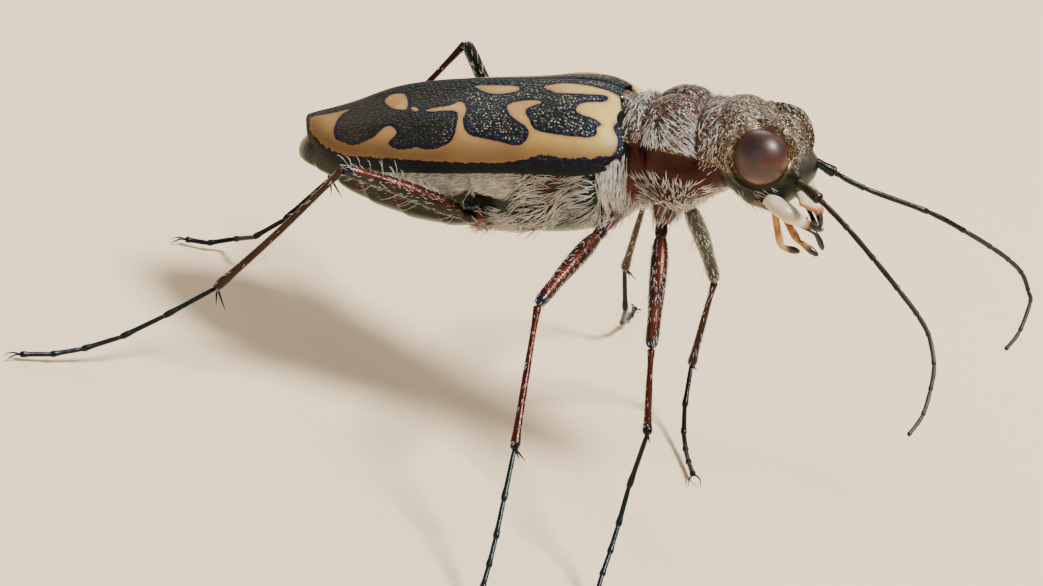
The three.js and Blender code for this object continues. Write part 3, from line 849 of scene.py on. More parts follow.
WING_APEX = -9.02
wing_width = profile(
    (-9.02, 0.2), (-8.85, 0.62), (-8.5, 1.06), (-8, 1.46), (-7.4, 1.8), (-6.6, 2.16), (-5.5, 2.46),
    (-4.2, 2.6), (-2.5, 2.56), (-1, 2.38), (-0.3, 2.2), (0.05, 2.02), (0.4, 1.75),
)
wing_seam = profile(
    (-9.02, 0.77), (-8.3, 0.95), (-7.6, 1.15), (-7, 1.36), (-6.6, 1.49), (-5.6, 1.67), (-5, 1.72),
    (-3.9, 1.755), (-2.35, 1.745), (-1.17, 1.72), (-0.5, 1.64), (-0.2, 1.56), (0.05, 1.44), (0.4, 1.15),
)
# How far the seam stands above the dome, and how far out from it the roof slopes down
wing_ridge = profile(
    (-9.02, 0.05), (-8, 0.16), (-6.5, 0.24), (-5, 0.24), (-3, 0.22), (-2.2, 0.15), (-1.4, 0.03),
    (-0.9, 0), (0.4, 0)
)
WING_ROOF = 1.2
wing_margin = profile(
    (-9.02, 0.55), (-8.6, 0.38), (-8.1, 0.14), (-7.5, 0.04), (-6.5, 0.06), (-5.5, 0.12), (-4, 0.14),
    (-2.5, 0.12), (-1.5, 0.04), (-0.6, -0.04), (0.05, 0.02), (0.4, 0.1),
)
wing_base = profile(
    (0, 0.02), (0.15, 0.1), (0.35, 0.3), (0.5, 0.37), (0.65, 0.41), (0.8, 0.42), (0.9, 0.33), (1, 0.02)
)
# How far the shoulder rolls down at the base, and how far back the roll reaches
SHOULDER_ROLL = 0.52
SHOULDER_REACH = 0.55
WING_SQUARE = 2.15
WING_ROWS = 280  # steps along a wing case
WING_COLUMNS = 90  # steps across it, the turned edge among them
TURNED_SHARE = 0.125  # of the width, turned under at the margin
TURNED_WIDTH = 0.13
TURNED_DEPTH = 0.14
WING_SHELL = 0.1

# Outlines of the cream markings on a wing case, as (mm from the base, mm from the suture along the surface)
CREAM_BORDER = [
    (-7.65, 0.38), (-8.24, 0.33), (-8.8, 0.29), (-8.77, 0.57), (-8.64, 0.92), (-8.43, 1.22),
    (-7.92, 1.72), (-7.49, 2.07), (-6.92, 2.41), (-5.84, 2.87), (-4.67, 3.14), (-3.5, 3.25),
    (-2.38, 3.22), (-1.8, 3.05), (-1.53, 2.98), (-1.1, 3), (-0.47, 2.9), (0.08, 2.58), (0.24, 2.4),
    (0.31, 2.12), (0.27, 1.92), (0.16, 1.76), (0.14, 1.54), (0.19, 1.02), (0.16, 0.85), (0.09, 0.55),
    (-0.16, 0.53), (-0.55, 0.52), (-1.26, 0.42), (-1.74, 0.42), (-1.99, 0.51), (-1.72, 0.76),
    (-1.43, 0.93), (-0.78, 0.89), (-0.3, 0.75), (-0.16, 0.75), (-0.23, 0.97), (-0.65, 1.23),
    (-0.78, 1.38), (-0.8, 1.57), (-0.63, 1.7), (-0.33, 1.71), (-0.11, 1.78), (-0.19, 1.96), (-0.16, 2.09),
    (-0.24, 2.24), (-0.49, 2.36), (-1.1, 2.42), (-1.6, 2.36), (-1.85, 2.21), (-1.98, 1.97), (-2.15, 1.74),
    (-2.17, 1.54), (-1.99, 1.41), (-1.81, 1.33), (-2.06, 1.17), (-2.55, 1.17), (-2.76, 1.33),
    (-2.73, 1.51), (-2.55, 1.78), (-2.3, 2), (-1.99, 2.24), (-1.92, 2.46), (-2.06, 2.69), (-2.32, 2.73),
    (-2.74, 2.63), (-3.24, 2.53), (-3.56, 2.43), (-3.76, 2.2), (-3.87, 1.88), (-3.87, 1.57),
    (-4.04, 1.19), (-4.21, 1.08), (-4.32, 1.19), (-4.52, 1.3), (-4.86, 1.36), (-5.06, 1.44),
    (-4.85, 1.52), (-4.47, 1.5), (-4.18, 1.55), (-4.04, 1.76), (-3.98, 2.19), (-3.97, 2.41),
    (-4.06, 2.63), (-4.35, 2.77), (-4.67, 2.81), (-5.05, 2.71), (-5.4, 2.72), (-5.76, 2.57),
    (-5.91, 2.41), (-5.74, 2.26), (-5.71, 2.13), (-5.87, 1.94), (-6.05, 1.85), (-6.2, 1.92),
    (-6.37, 2.08), (-6.62, 2.11), (-6.95, 2.08), (-7.22, 1.95), (-7.43, 1.76), (-7.72, 1.52),
    (-7.86, 1.16), (-7.87, 0.79), (-7.8, 0.53),
]
CREAM_SPOTS = [
    [
        (-6.51, 0.63), (-6.46, 0.4), (-6.29, 0.37), (-6, 0.45), (-5.81, 0.76), (-5.67, 1.21), (-5.85, 1.22),
        (-6.16, 1.04),
    ],
    [(-5.55, 1.21), (-5.46, 1.2), (-5.29, 1.35), (-5.32, 1.44), (-5.44, 1.37)],
    [
        (-3.98, 0.34), (-3.37, 0.34), (-2.78, 0.41), (-2.68, 0.59), (-2.9, 0.71), (-3.22, 0.75),
        (-3.59, 0.65), (-3.85, 0.48),
    ],
]


def wing_point(along, across):
    """The right wing case at a share along it from the apex, and across from the suture.

    Past 1 across, it turns under."""
    inside = np.clip(across, 0, 1)
    share = 0.3 * along + 0.7 * (3 * along**2 - 2 * along**3)
    base = wing_base(inside)
    x = WING_APEX + (base - WING_APEX) * share
    angle = inside * math.pi / 2
    ridge, low = wing_ridge(x), wing_margin(x)
    rise = np.cos(angle) ** (2 / WING_SQUARE)
    y = wing_width(x) * np.sin(angle) ** (2 / WING_SQUARE)
    z = low + (wing_seam(x) - ridge - low) * rise + ridge * np.clip(1 - y / WING_ROOF, 0, 1) ** 2
    z = z - SHOULDER_ROLL * step(inside, 0.1, 0.35) * np.exp((x - base) / SHOULDER_REACH) * rise
    turned = np.clip((across - 1) / TURNED_SHARE, 0, 1) * math.pi / 2
    narrow = 0.25 + 0.75 * step(x, -8.8, -7.0)
    y = y - TURNED_WIDTH * narrow * (1 - np.cos(turned))
    z = z - TURNED_DEPTH * narrow * np.sin(turned)
    groove = 0.03 * hump(across, 0.0, 0.025)
    return np.stack(np.broadcast_arrays(x, -y - 0.012, z - groove), -1)


def signed_distance(points, outline):
    """Distance in mm to a closed outline, above zero inside it."""
    starts, ends = outline, np.roll(outline, -1, axis=0)
    nearest = np.full(len(points), 1e9)
    inside = np.zeros(len(points), bool)
    for a, b in zip(starts, ends):
        edge = b - a
        t = np.clip((points - a) @ edge / max(edge @ edge, 1e-12), 0, 1)
        nearest = np.minimum(nearest, np.linalg.norm(points - a - t[:, None] * edge, axis=1))
        crosses = (a[1] > points[:, 1]) != (b[1] > points[:, 1])
        rise = edge[1] if edge[1] else 1e-12
        inside ^= crosses & (points[:, 0] < a[0] + (points[:, 1] - a[1]) / rise * edge[0])
    return np.where(inside, nearest, -nearest)


def wing_marks(rows, columns):
    """Marks for the pattern at each point of the wing's grid."""
    along = np.linspace(0, 1, rows + 1)[:, None]
    across = np.linspace(0, 1 + TURNED_SHARE, columns + 1)[None, :]
    points = wing_point(along, across)
    steps = np.linalg.norm(np.diff(points, axis=1), axis=2)
    from_seam = np.concatenate([np.zeros((rows + 1, 1)), np.cumsum(steps, axis=1)], axis=1)
    half_width = from_seam[:, [round(columns / (1 + TURNED_SHARE))]]
    flat = np.stack([points[..., 0].ravel(), from_seam.ravel()], 1)
    fields = [signed_distance(flat, smooth_line(CREAM_BORDER, 4, closed=True))]
    fields += [signed_distance(flat, smooth_line(spot, 4, closed=True)) for spot in CREAM_SPOTS]
    return {
        "marking": np.max(fields, axis=0),
        "across": from_seam.ravel(),
        "forward": points[..., 0].ravel(),
        "under": (from_seam - half_width).ravel(),
    }


class BEETLE_OT_wing_cases(bpy.types.Operator):
    """Makes both wing cases, with their cream markings"""

    bl_idname = "beetle.wing_cases"
    bl_label = "Wing cases"

    def execute(self, context):
        marks = wing_marks(WING_ROWS, WING_COLUMNS)
        for side_name, side in SIDES.items():
            bm = bmesh.new()
            bmesh.ops.create_grid(bm, x_segments=WING_ROWS, y_segments=WING_COLUMNS, size=0.5)
            square = np.array([v.co for v in bm.verts])
            along, across = square[:, 0] + 0.5, (square[:, 1] + 0.5) * (1 + TURNED_SHARE)
            points = wing_point(along, across) * (1, -side, 1)
            for vert, point in zip(bm.verts, points):
                vert.co = point
            row = np.rint(along * WING_ROWS).astype(int)
            column = np.rint(across / (1 + TURNED_SHARE) * WING_COLUMNS).astype(int)
            place = row * (WING_COLUMNS + 1) + column
            layers = {name: bm.verts.layers.float.new(name) for name in marks}
            for vert, index in zip(bm.verts, place):
                for name, layer in layers.items():
                    vert[layer] = float(marks[name][index])
            if side > 0:
                bmesh.ops.reverse_faces(bm, faces=bm.faces)
            up = sum((f.normal for f in bm.faces), Vector())
            if up.z < 0:
                bmesh.ops.reverse_faces(bm, faces=bm.faces)
            bmesh.ops.solidify(bm, geom=bm.faces[:], thickness=WING_SHELL)
            name = f"elytron_{side_name}"
            finish(bm, f"wing_case_{side_name}", TO_TRUNK, library()["wing"], "wing_case", name)
        return {"FINISHED"}


class BEETLE_OT_trunk(bpy.types.Operator):
    """Makes the prothorax, the scutellum, the hind thorax and the abdomen"""

    bl_idname = "beetle.trunk"
    bl_label = "Trunk"

    # The small plate between the wing cases' bases
    SHIELD = [(-0.28, 0, 1.48), (0.04, -0.3, 1.3), (0.38, -0.26, 1.08), (0.38, 0.26, 1.08), (0.04, 0.3, 1.3)]
    SHIELD_DEPTH = 0.12
    SHIELD_BEVEL = 0.03

    def execute(self, context):
        finishes = library()

        def marks(points):
            x, _, z = points.T
            down = np.clip(felt(points), 0, 1) * 0.9
            return {"edge": z - flank_edge(x), "forward": x, "level": z, "downy": down}

        for name, shape, node, finish_name, slot in (
            ("prothorax_skin", PROTHORAX, "prothorax", "thorax", "copper_cuticle"),
            ("hind_thorax_skin", PTEROTHORAX, "pterothorax", "belly", "haired_underside"),
            ("abdomen_skin", ABDOMEN, "abdomen", "belly", "haired_underside"),
        ):
            surface = trunk_surface(shape)
            skin(name, surface, 170, 180, TO_TRUNK, finishes[finish_name], slot, node, marks=marks)
        bm = bmesh.new()
        bm.faces.new([bm.verts.new(point) for point in self.SHIELD])
        made = bmesh.ops.extrude_face_region(bm, geom=bm.faces[:])
        sunk = [v for v in made["geom"] if isinstance(v, bmesh.types.BMVert)]
        bmesh.ops.translate(bm, verts=sunk, vec=(0, 0, -self.SHIELD_DEPTH))
        bmesh.ops.bevel(
            bm, geom=bm.edges[:], offset=self.SHIELD_BEVEL, segments=3, profile=0.5, affect="EDGES",
            material=-1,
        )
        plate = finish(bm, "scutellum_plate", TO_TRUNK, finishes["granular"], "copper_cuticle", "scutellum")
        for mark in ("orbit", "level"):
            store(plate.data, mark, np.ones(len(plate.data.vertices)))
        return {"FINISHED"}


class BEETLE_OT_head(bpy.types.Operator):
    """Makes the head capsule and the eyes"""

    bl_idname = "beetle.head"
    bl_label = "Head"

    def execute(self, context):
        finishes = library()
        wide = EYE["radius"] / EYE["bulge"]

        def marks(points):
            x, y, z = points.T
            away = np.sqrt((x - EYE["x"]) ** 2 + ((np.abs(y) - EYE["y"]) * wide) ** 2 + (z - EYE["z"]) ** 2)
            return {"level": z, "orbit": away - EYE["radius"]}

        pieces = [wrap(trunk_surface(HEAD), 190, 200)]
        for side in SIDES.values():
            path = [(EYE["x"], 0, EYE["z"]), (EYE["x"], side * ORBIT_REACH, EYE["z"])]
            pieces.append(wrap(limb_surface(path, ORBIT), 60, 110))
        points = np.array([v.co for bm in pieces for v in bm.verts])
        head = joined("head_skin", pieces, TO_TRUNK, finishes["granular"], "copper_cuticle", "head")
        for mark, values in marks(points).items():
            store(head.data, mark, values)
        for side_name, side in SIDES.items():
            bm = bmesh.new()
            bmesh.ops.create_uvsphere(bm, u_segments=96, v_segments=64, radius=1)
            bmesh.ops.scale(bm, verts=bm.verts, vec=(EYE["radius"], EYE["bulge"], EYE["radius"]))
            bmesh.ops.translate(bm, verts=bm.verts, vec=(EYE["x"], side * EYE["y"], EYE["z"]))
            finish(bm, f"eye_ball_{side_name}", TO_TRUNK, finishes["eye"], "eye", f"eye_{side_name}")
        return {"FINISHED"}


def spike(path, thick, sides=8, shade=lambda along: along):
    """A tapering spine, claw, spur or tooth along a path."""
    taper = profile((0, thick), (0.5, thick * 0.75), (1, thick * 0.12))
    return wrap(limb_surface(smooth_line(path, 6), taper, cap=0.08), 14, sides, shade)


# Middle lines of the mouthparts in the trunk's frame, by side, and their thickness
JAWS = {
    "right": [
        (4.0, -0.93, -1.3), (4.35, -1.0, -1.55), (4.65, -0.97, -1.8), (4.98, -0.72, -2.13),
        (5.15, -0.45, -2.35), (5.2, -0.12, -2.46),
    ],
    "left": [
        (4.0, 0.93, -1.3), (4.35, 0.95, -1.55), (4.6, 0.85, -1.85), (4.85, 0.55, -2.15), (5.0, 0.25, -2.38),
        (5.08, -0.05, -2.5),
    ],
}
JAW = profile((0, 0.24), (0.15, 0.3), (0.35, 0.31), (0.5, 0.23), (0.65, 0.15), (0.78, 0.11), (1, 0.03))
JAW_TEETH = (0.62, 0.74, 0.86)  # places along a jaw
TOOTH_LENGTH = 0.24
TOOTH_THICKNESS = 0.07
OUTER_PALPS = {
    "right": [
        (3.5, -0.85, -1.2), (3.78, -0.9, -1.45), (4.12, -0.88, -1.68), (4.62, -0.9, -1.98),
        (5.06, -0.75, -2.29), (5.19, -0.7, -2.44), (5.3, -0.65, -2.85),
    ],
    "left": [
        (3.5, 0.85, -1.2), (3.78, 0.9, -1.45), (4.12, 0.85, -1.75), (4.5, 0.7, -2.1), (4.75, 0.45, -2.45),
        (4.8, 0.3, -2.7),
    ],
}
OUTER = profile(
    (0, 0.08), (0.12, 0.1), (0.22, 0.085), (0.32, 0.055), (0.6, 0.055), (0.78, 0.06), (0.95, 0.075),
    (1, 0.05)
)
INNER_PALPS = {
    "right": [
        (3.95, -0.45, -1.45), (4.0, -0.45, -1.84), (4.07, -0.45, -2.72), (4.18, -0.44, -2.86),
        (4.58, -0.42, -2.98),
    ],
    "left": [
        (3.9, 0.4, -1.45), (3.98, 0.4, -2.26), (4.25, 0.4, -2.9), (4.42, 0.4, -3.06), (4.78, 0.42, -3.38),
    ],
}
INNER = profile(
    (0, 0.07), (0.2, 0.085), (0.5, 0.095), (0.66, 0.1), (0.72, 0.07), (0.78, 0.08), (0.92, 0.095), (1, 0.05)
)


def lip_point(down, y):
    """The upper lip's outer face, at a share of the way down and mm to the left."""
    teeth = np.clip(np.cos(y * 2 * math.pi / 0.22), 0, 1)
    scallop = 0.055 * teeth * step(down, 0.85, 1.0) * (np.abs(y) < 0.38)
    x = 4.86 + 0.33 * down - y * y * (0.6 + 0.4 * down) + 0.05 * np.sin(down * math.pi)
    z = -1.0 - 1.0 * down * (1 - 0.35 * (y / 0.62) ** 2) - scallop
    return np.stack([x, y, z], -1)


class BEETLE_OT_mouthparts(bpy.types.Operator):
    """Makes the upper lip, the jaws and the palps"""

    bl_idname = "beetle.mouthparts"
    bl_label = "Mouthparts"

    LIP_HALF = 0.62
    LIP_SHELL = 0.12

    def execute(self, context):
        finishes = library()
        bm = bmesh.new()
        bmesh.ops.create_grid(bm, x_segments=40, y_segments=60, size=0.5)
        square = np.array([v.co for v in bm.verts]) + 0.5
        layer = bm.verts.layers.float.new("along")
        points = lip_point(square[:, 0], (square[:, 1] * 2 - 1) * self.LIP_HALF)
        for vert, point, down in zip(bm.verts, points, square[:, 0]):
            vert.co = point
            vert[layer] = float(np.clip((down - 0.6) * 1.6, 0, 0.62))
        bmesh.ops.recalc_face_normals(bm, faces=bm.faces)
        if sum(face.normal.x for face in bm.faces) < 0:
            bmesh.ops.reverse_faces(bm, faces=bm.faces)
        bmesh.ops.solidify(bm, geom=bm.faces[:], thickness=self.LIP_SHELL)
        finish(bm, "labrum_plate", TO_TRUNK, finishes["ivory"], "ivory", "labrum")

        def shade(along):
            return np.clip((along - 0.42) / 0.3, 0, 1)

        for side_name, side in SIDES.items():
            route = even(smooth_line(JAWS[side_name], 10), 100)
            pieces = [wrap(limb_surface(route, JAW, flat=0.75), 70, 32, shade)]
            for place in JAW_TEETH:
                root = route[int(place * 99)]
                tip = root + TOOTH_LENGTH * unit(np.array((-0.1, -side, 0.75)))
                tooth = [root, (root + tip) / 2, tip]
                pieces.append(spike(tooth, TOOTH_THICKNESS, 10, lambda along: along * 0 + 1))
            name = f"mandible_{side_name}"
            joined(f"jaw_{side_name}", pieces, TO_TRUNK, finishes["ivory"], "ivory", name)
            self.palp(side_name, "maxillary", OUTER_PALPS[side_name], OUTER, finishes["outer_palp"])
            self.palp(side_name, "labial", INNER_PALPS[side_name], INNER, finishes["amber"])
        return {"FINISHED"}

    def palp(self, side_name, kind, path, thick, material):
        bm = wrap(limb_surface(smooth_line(path, 12), thick), 80, 20)
        finish(bm, f"palp_{kind}_{side_name}", TO_TRUNK, material, "amber", f"{kind}_palp_{side_name}")


# Feelers and legs, by their joints in the floor's frame, as the solids have them

FEELERS = {
    "right": [
        (4.66, -0.72, 10.09), (5.62, -1.2, 10.02), (6.7, -1.95, 9.89), (7.72, -2.63, 9.67),
        (8.67, -3.24, 9.42), (9.43, -3.77, 9.21), (9.97, -4.41, 9.08), (10.42, -4.98, 8.64),
        (10.64, -5.66, 8.26), (10.76, -6.33, 7.85), (10.68, -6.98, 7.49),
    ],
    "left": [
        (4.71, 0.75, 10.16), (5.36, 1.1, 9.9), (6.19, 1.48, 9.65), (7.86, 2.43, 9.3), (8.85, 3.01, 8.93),
        (9.57, 3.51, 8.57), (10.07, 3.94, 8.23), (10.45, 4.3, 7.85), (10.75, 4.4, 7.4), (10.93, 4.09, 7.26),
        (11.02, 3.33, 6.69), (10.92, 2.67, 6.35),
    ],
}
FEELER_STEPS = 12  # between two of those points
PEDICEL_STEPS = 2
BRIGHT_JOINTS = 3  # after the first two, as shiny as they are
LEGS = {
    "front": {
        "coxa": [(1.22, 0.5, -1.2), (1.05, 1.05, -2.05)],
        "right": [(2.92, -3.04, 5.07), (4.02, -5.59, 3.98)],
        "right_toes": [
            (4.07, -6, 2.57), (4.23, -6.59, 1.72), (4.35, -7.15, 1.2), (4.44, -7.68, 0.79),
            (4.59, -8.29, 0.27),
        ],
        "left": [(2.71, 3.52, 4.55), (2.73, 4, 1.7)],
        "left_toes": [
            (3.05, 3.25, 0.85), (3.4, 2.5, 0.45), (3.7, 1.95, 0.28), (3.98, 1.45, 0.22), (4.28, 0.95, 0.2),
        ],
        "claws": {"right": (4.62, -8.65), "left": (4.5, 0.6)},
        "spur": ((0.25, -0.15, -0.3), 0.32),
        "bristles": 5,
    },
    "middle": {
        "coxa": [(-0.3, 0.85, -1.4), (-0.42, 1.58, -1.98)],
        "right": [(0.06, -4.82, 5.83), (1.22, -7.56, 3.03)],
        "right_toes": [
            (1.58, -8.63, 2.14), (1.86, -9.48, 1.5), (2.05, -10.14, 1.01), (2.18, -10.67, 0.66),
            (2.34, -11.29, 0.27),
        ],
        "left": [(-0.05, 4.72, 5.75), (-0.35, 6.4, 2.48)],
        "left_toes": [
            (-0.05, 6.72, 1.2), (-0.15, 7.35, 0.5), (-0.18, 8.1, 0.27), (-0.22, 8.6, 0.22),
            (-0.3, 9.15, 0.2),
        ],
        "claws": {"right": (2.38, -11.65), "left": (-0.33, 9.5)},
        "spur": ((0.4, -0.03, -0.24), 0.47),
        "bristles": 5,
    },
    "hind": {
        "coxa": [(-3.9, 0.8, -1.8), (-3.92, 1.88, -1.52)],
        "right": [(-6.09, -4.37, 7.06), (-8.54, -4.32, 2.35)],
        "right_toes": [
            (-9.37, -5.34, 1.54), (-10.11, -6.18, 0.9), (-10.84, -6.87, 0.48), (-11.46, -7.45, 0.27),
            (-12.09, -7.98, 0.2),
        ],
        "left": [(-6.09, 4.6, 7.79), (-8.3, 3, 3.1)],
        "left_toes": [
            (-8.97, 2.22, 1.86), (-9.66, 2.26, 1.0), (-10.3, 2.7, 0.5), (-10.89, 2.34, 0.25),
            (-11.45, 2.12, 0.2),
        ],
        "claws": {"right": (-12.45, -8.2), "left": (-11.8, 2.0)},
        "spur": ((0.46, -0.14, -0.5), 0.7),
        "bristles": 9,
    },
}
COXA = profile((0, 0.36), (0.35, 0.4), (0.8, 0.26), (1, 0.18))
FEMUR = profile((0, 0.14), (0.1, 0.2), (0.4, 0.23), (0.75, 0.18), (0.93, 0.17), (1, 0.14))
TIBIA = profile((0, 0.12), (0.06, 0.1), (0.5, 0.095), (0.85, 0.11), (0.97, 0.125), (1, 0.1))
TOE = profile((0, 0.055), (0.12, 0.062), (0.7, 0.07), (0.94, 0.082), (1, 0.06))
SCAPE = profile((0, 0.09), (0.12, 0.11), (0.5, 0.125), (0.8, 0.15), (0.95, 0.14), (1, 0.09))
FEELER_JOINT = profile((0, 0.052), (0.08, 0.058), (0.8, 0.063), (0.95, 0.067), (1, 0.05))
FEELER_TAPER = (1.25, 0.82)  # of a joint's thickness, from the feeler's root to its tip
OVERLAP = 0.05  # how far a joint's skin runs into the next one's
TROCHANTER = profile((0, 0.15), (0.5, 0.17), (1, 0.14))
TROCHANTER_LENGTH = 0.4
THIGH_BOW = 0.02
SHIN_BOW = -0.01
CLAW_REACH = 0.46
CLAW_SPREAD = 0.42  # sideways, against 1 forward
CLAW_THICKNESS = 0.028
SPUR_THICKNESS = 0.034


def on_floor(point):
    return np.array(TRUNK @ Vector(point))


def leg_joints(pair, side_name):
    """The ends of the coxa, the knee, the ankle and the ends of five toe joints, in the floor's frame."""
    leg, side = LEGS[pair], SIDES[side_name]
    root, hip = (on_floor(np.array(point) * (1, side, 1)) for point in leg["coxa"])
    knee, ankle = (np.array(point) for point in leg[side_name])
    toes = [np.array(point) for point in leg[f"{side_name}_toes"]]
    return root, hip, knee, ankle, toes


def bowed(start, end, bow, count=14):
    """A limb's middle line from start to end, bowed by that share of its length."""
    start, end = np.array(start), np.array(end)
    t = np.linspace(0, 1, count)[:, None]
    way = end - start
    out = unit(np.cross(np.cross(way, (0, 0, 1)), way))
    return start + way * t + out * np.sin(t * math.pi) * bow * np.linalg.norm(way)


def leg_surfaces(pair, side_name):
    """The surfaces of a leg's coxa, femur and tibia."""
    root, hip, knee, ankle, _ = leg_joints(pair, side_name)
    start = hip + (TROCHANTER_LENGTH - 0.15) * unit(knee - hip)
    return (
        limb_surface([root, hip], COXA, cap=0.15),
        limb_surface(bowed(start, knee, THIGH_BOW), FEMUR, cap=0.04),
        limb_surface(bowed(knee, ankle, SHIN_BOW), TIBIA, cap=0.02),
    )


class BEETLE_OT_legs(bpy.types.Operator):
    """Makes the six legs, with their spurs and claws"""

    bl_idname = "beetle.legs"
    bl_label = "Legs"

    def execute(self, context):
        for pair in PAIRS:
            for side_name in SIDES:
                self.leg(pair, side_name)
        return {"FINISHED"}

    def leg(self, pair, side_name):
        finishes, side = library(), SIDES[side_name]
        _, hip, knee, ankle, toes = leg_joints(pair, side_name)
        coxa, femur, tibia = leg_surfaces(pair, side_name)
        label = f"{pair}_{side_name}"
        joined(
            f"coxa_{label}", [wrap(coxa, 40, 28)], TO_FLOOR, finishes["flank"], "haired_underside",
            f"{pair}_coxa_{side_name}",
        )
        shank = unit(knee - hip)
        trochanter = limb_surface([hip - 0.12 * shank, hip + TROCHANTER_LENGTH * shank], TROCHANTER, cap=0.25)
        thigh = [wrap(trochanter, 20, 20, lambda along: along * 0 - 1), wrap(femur, 70, 28)]
        joined(f"femur_{label}", thigh, TO_FLOOR, finishes["femur"], "leg", f"{pair}_femur_{side_name}")

        way, length = LEGS[pair]["spur"]
        way = unit(np.array(way) * (1, -side, 1))
        shin = unit(ankle - knee)
        lower = [wrap(tibia, 60, 20)]
        for share, lean in ((1.0, 0.0), (0.75, 0.6)):
            out = unit(way + lean * shin)
            root = ankle - shin * 0.1
            path = [root, root + out * length * share * 0.5, root + out * length * share]
            lower.append(spike(path, SPUR_THICKNESS, shade=lambda along: along * 0 + 1))
        joined(f"tibia_{label}", lower, TO_FLOOR, finishes["tibia"], "leg", f"{pair}_tibia_{side_name}")

        foot = []
        joints = [ankle, *toes]
        for number, (start, end) in enumerate(zip(joints, joints[1:])):
            run = unit(end - start)
            toe = limb_surface([start - run * OVERLAP, end + run * OVERLAP], TOE, cap=0.06)
            foot.append(wrap(toe, 24, 16, lambda along: (number + along) / len(toes)))
        last = toes[-1]
        run = np.array((*LEGS[pair]["claws"][side_name], last[2])) - last
        run = unit(run * (1, 1, 0))
        aside = np.cross(run, (0, 0, 1))
        for turn, arch in ((-1, 0.1), (1, 0.03)):
            tip = last + CLAW_REACH * unit(run + CLAW_SPREAD * turn * aside)
            tip[2] = CLAW_THICKNESS * 0.5
            middle = (last + tip) / 2 + 0.05 * turn * aside
            middle[2] += arch
            foot.append(spike([last, middle, tip], CLAW_THICKNESS, shade=lambda along: along * 0 + 1))
        joined(f"tarsus_{label}", foot, TO_FLOOR, finishes["tarsus"], "foot", f"{pair}_tarsus_{side_name}")


class BEETLE_OT_feelers(bpy.types.Operator):
    """Makes both feelers, joint by joint"""

    bl_idname = "beetle.feelers"
    bl_label = "Feelers"

    def execute(self, context):
        finishes = library()
        for side_name, points in FEELERS.items():
            route = smooth_line(points, FEELER_STEPS)
            ends = [FEELER_STEPS, FEELER_STEPS + PEDICEL_STEPS]
            ends += [FEELER_STEPS * k for k in range(2, len(points))]
            pieces = [wrap(limb_surface(route[: ends[0] + 1], SCAPE, cap=0.08), 36, 22)]
            for start, end in zip(ends, ends[1:]):
                stretch = route[start : end + 1].copy()
                stretch[0] -= OVERLAP * unit(stretch[1] - stretch[0])
                pieces.append(wrap(limb_surface(stretch, self.slimmed(start / len(route)), cap=0.06), 30, 16))
            names = [f"antenna_{side_name}_{part}" for part in ("base", "middle", "tip")]
            shiny = 2 + BRIGHT_JOINTS
            base = (TO_FLOOR, finishes["scape"], "feeler", names[0])
            lash = (TO_FLOOR, finishes["feeler"], "feeler", *names[1:])
            joined(f"feeler_base_{side_name}", pieces[:shiny], *base)
            joined(f"feeler_lash_{side_name}", pieces[shiny:], *lash)
        return {"FINISHED"}

    def slimmed(self, share):
        """A joint's thickness at that share of the feeler."""
        factor = np.interp(share, (0, 1), FEELER_TAPER)
        return lambda along: factor * FEELER_JOINT(along)


# Hair


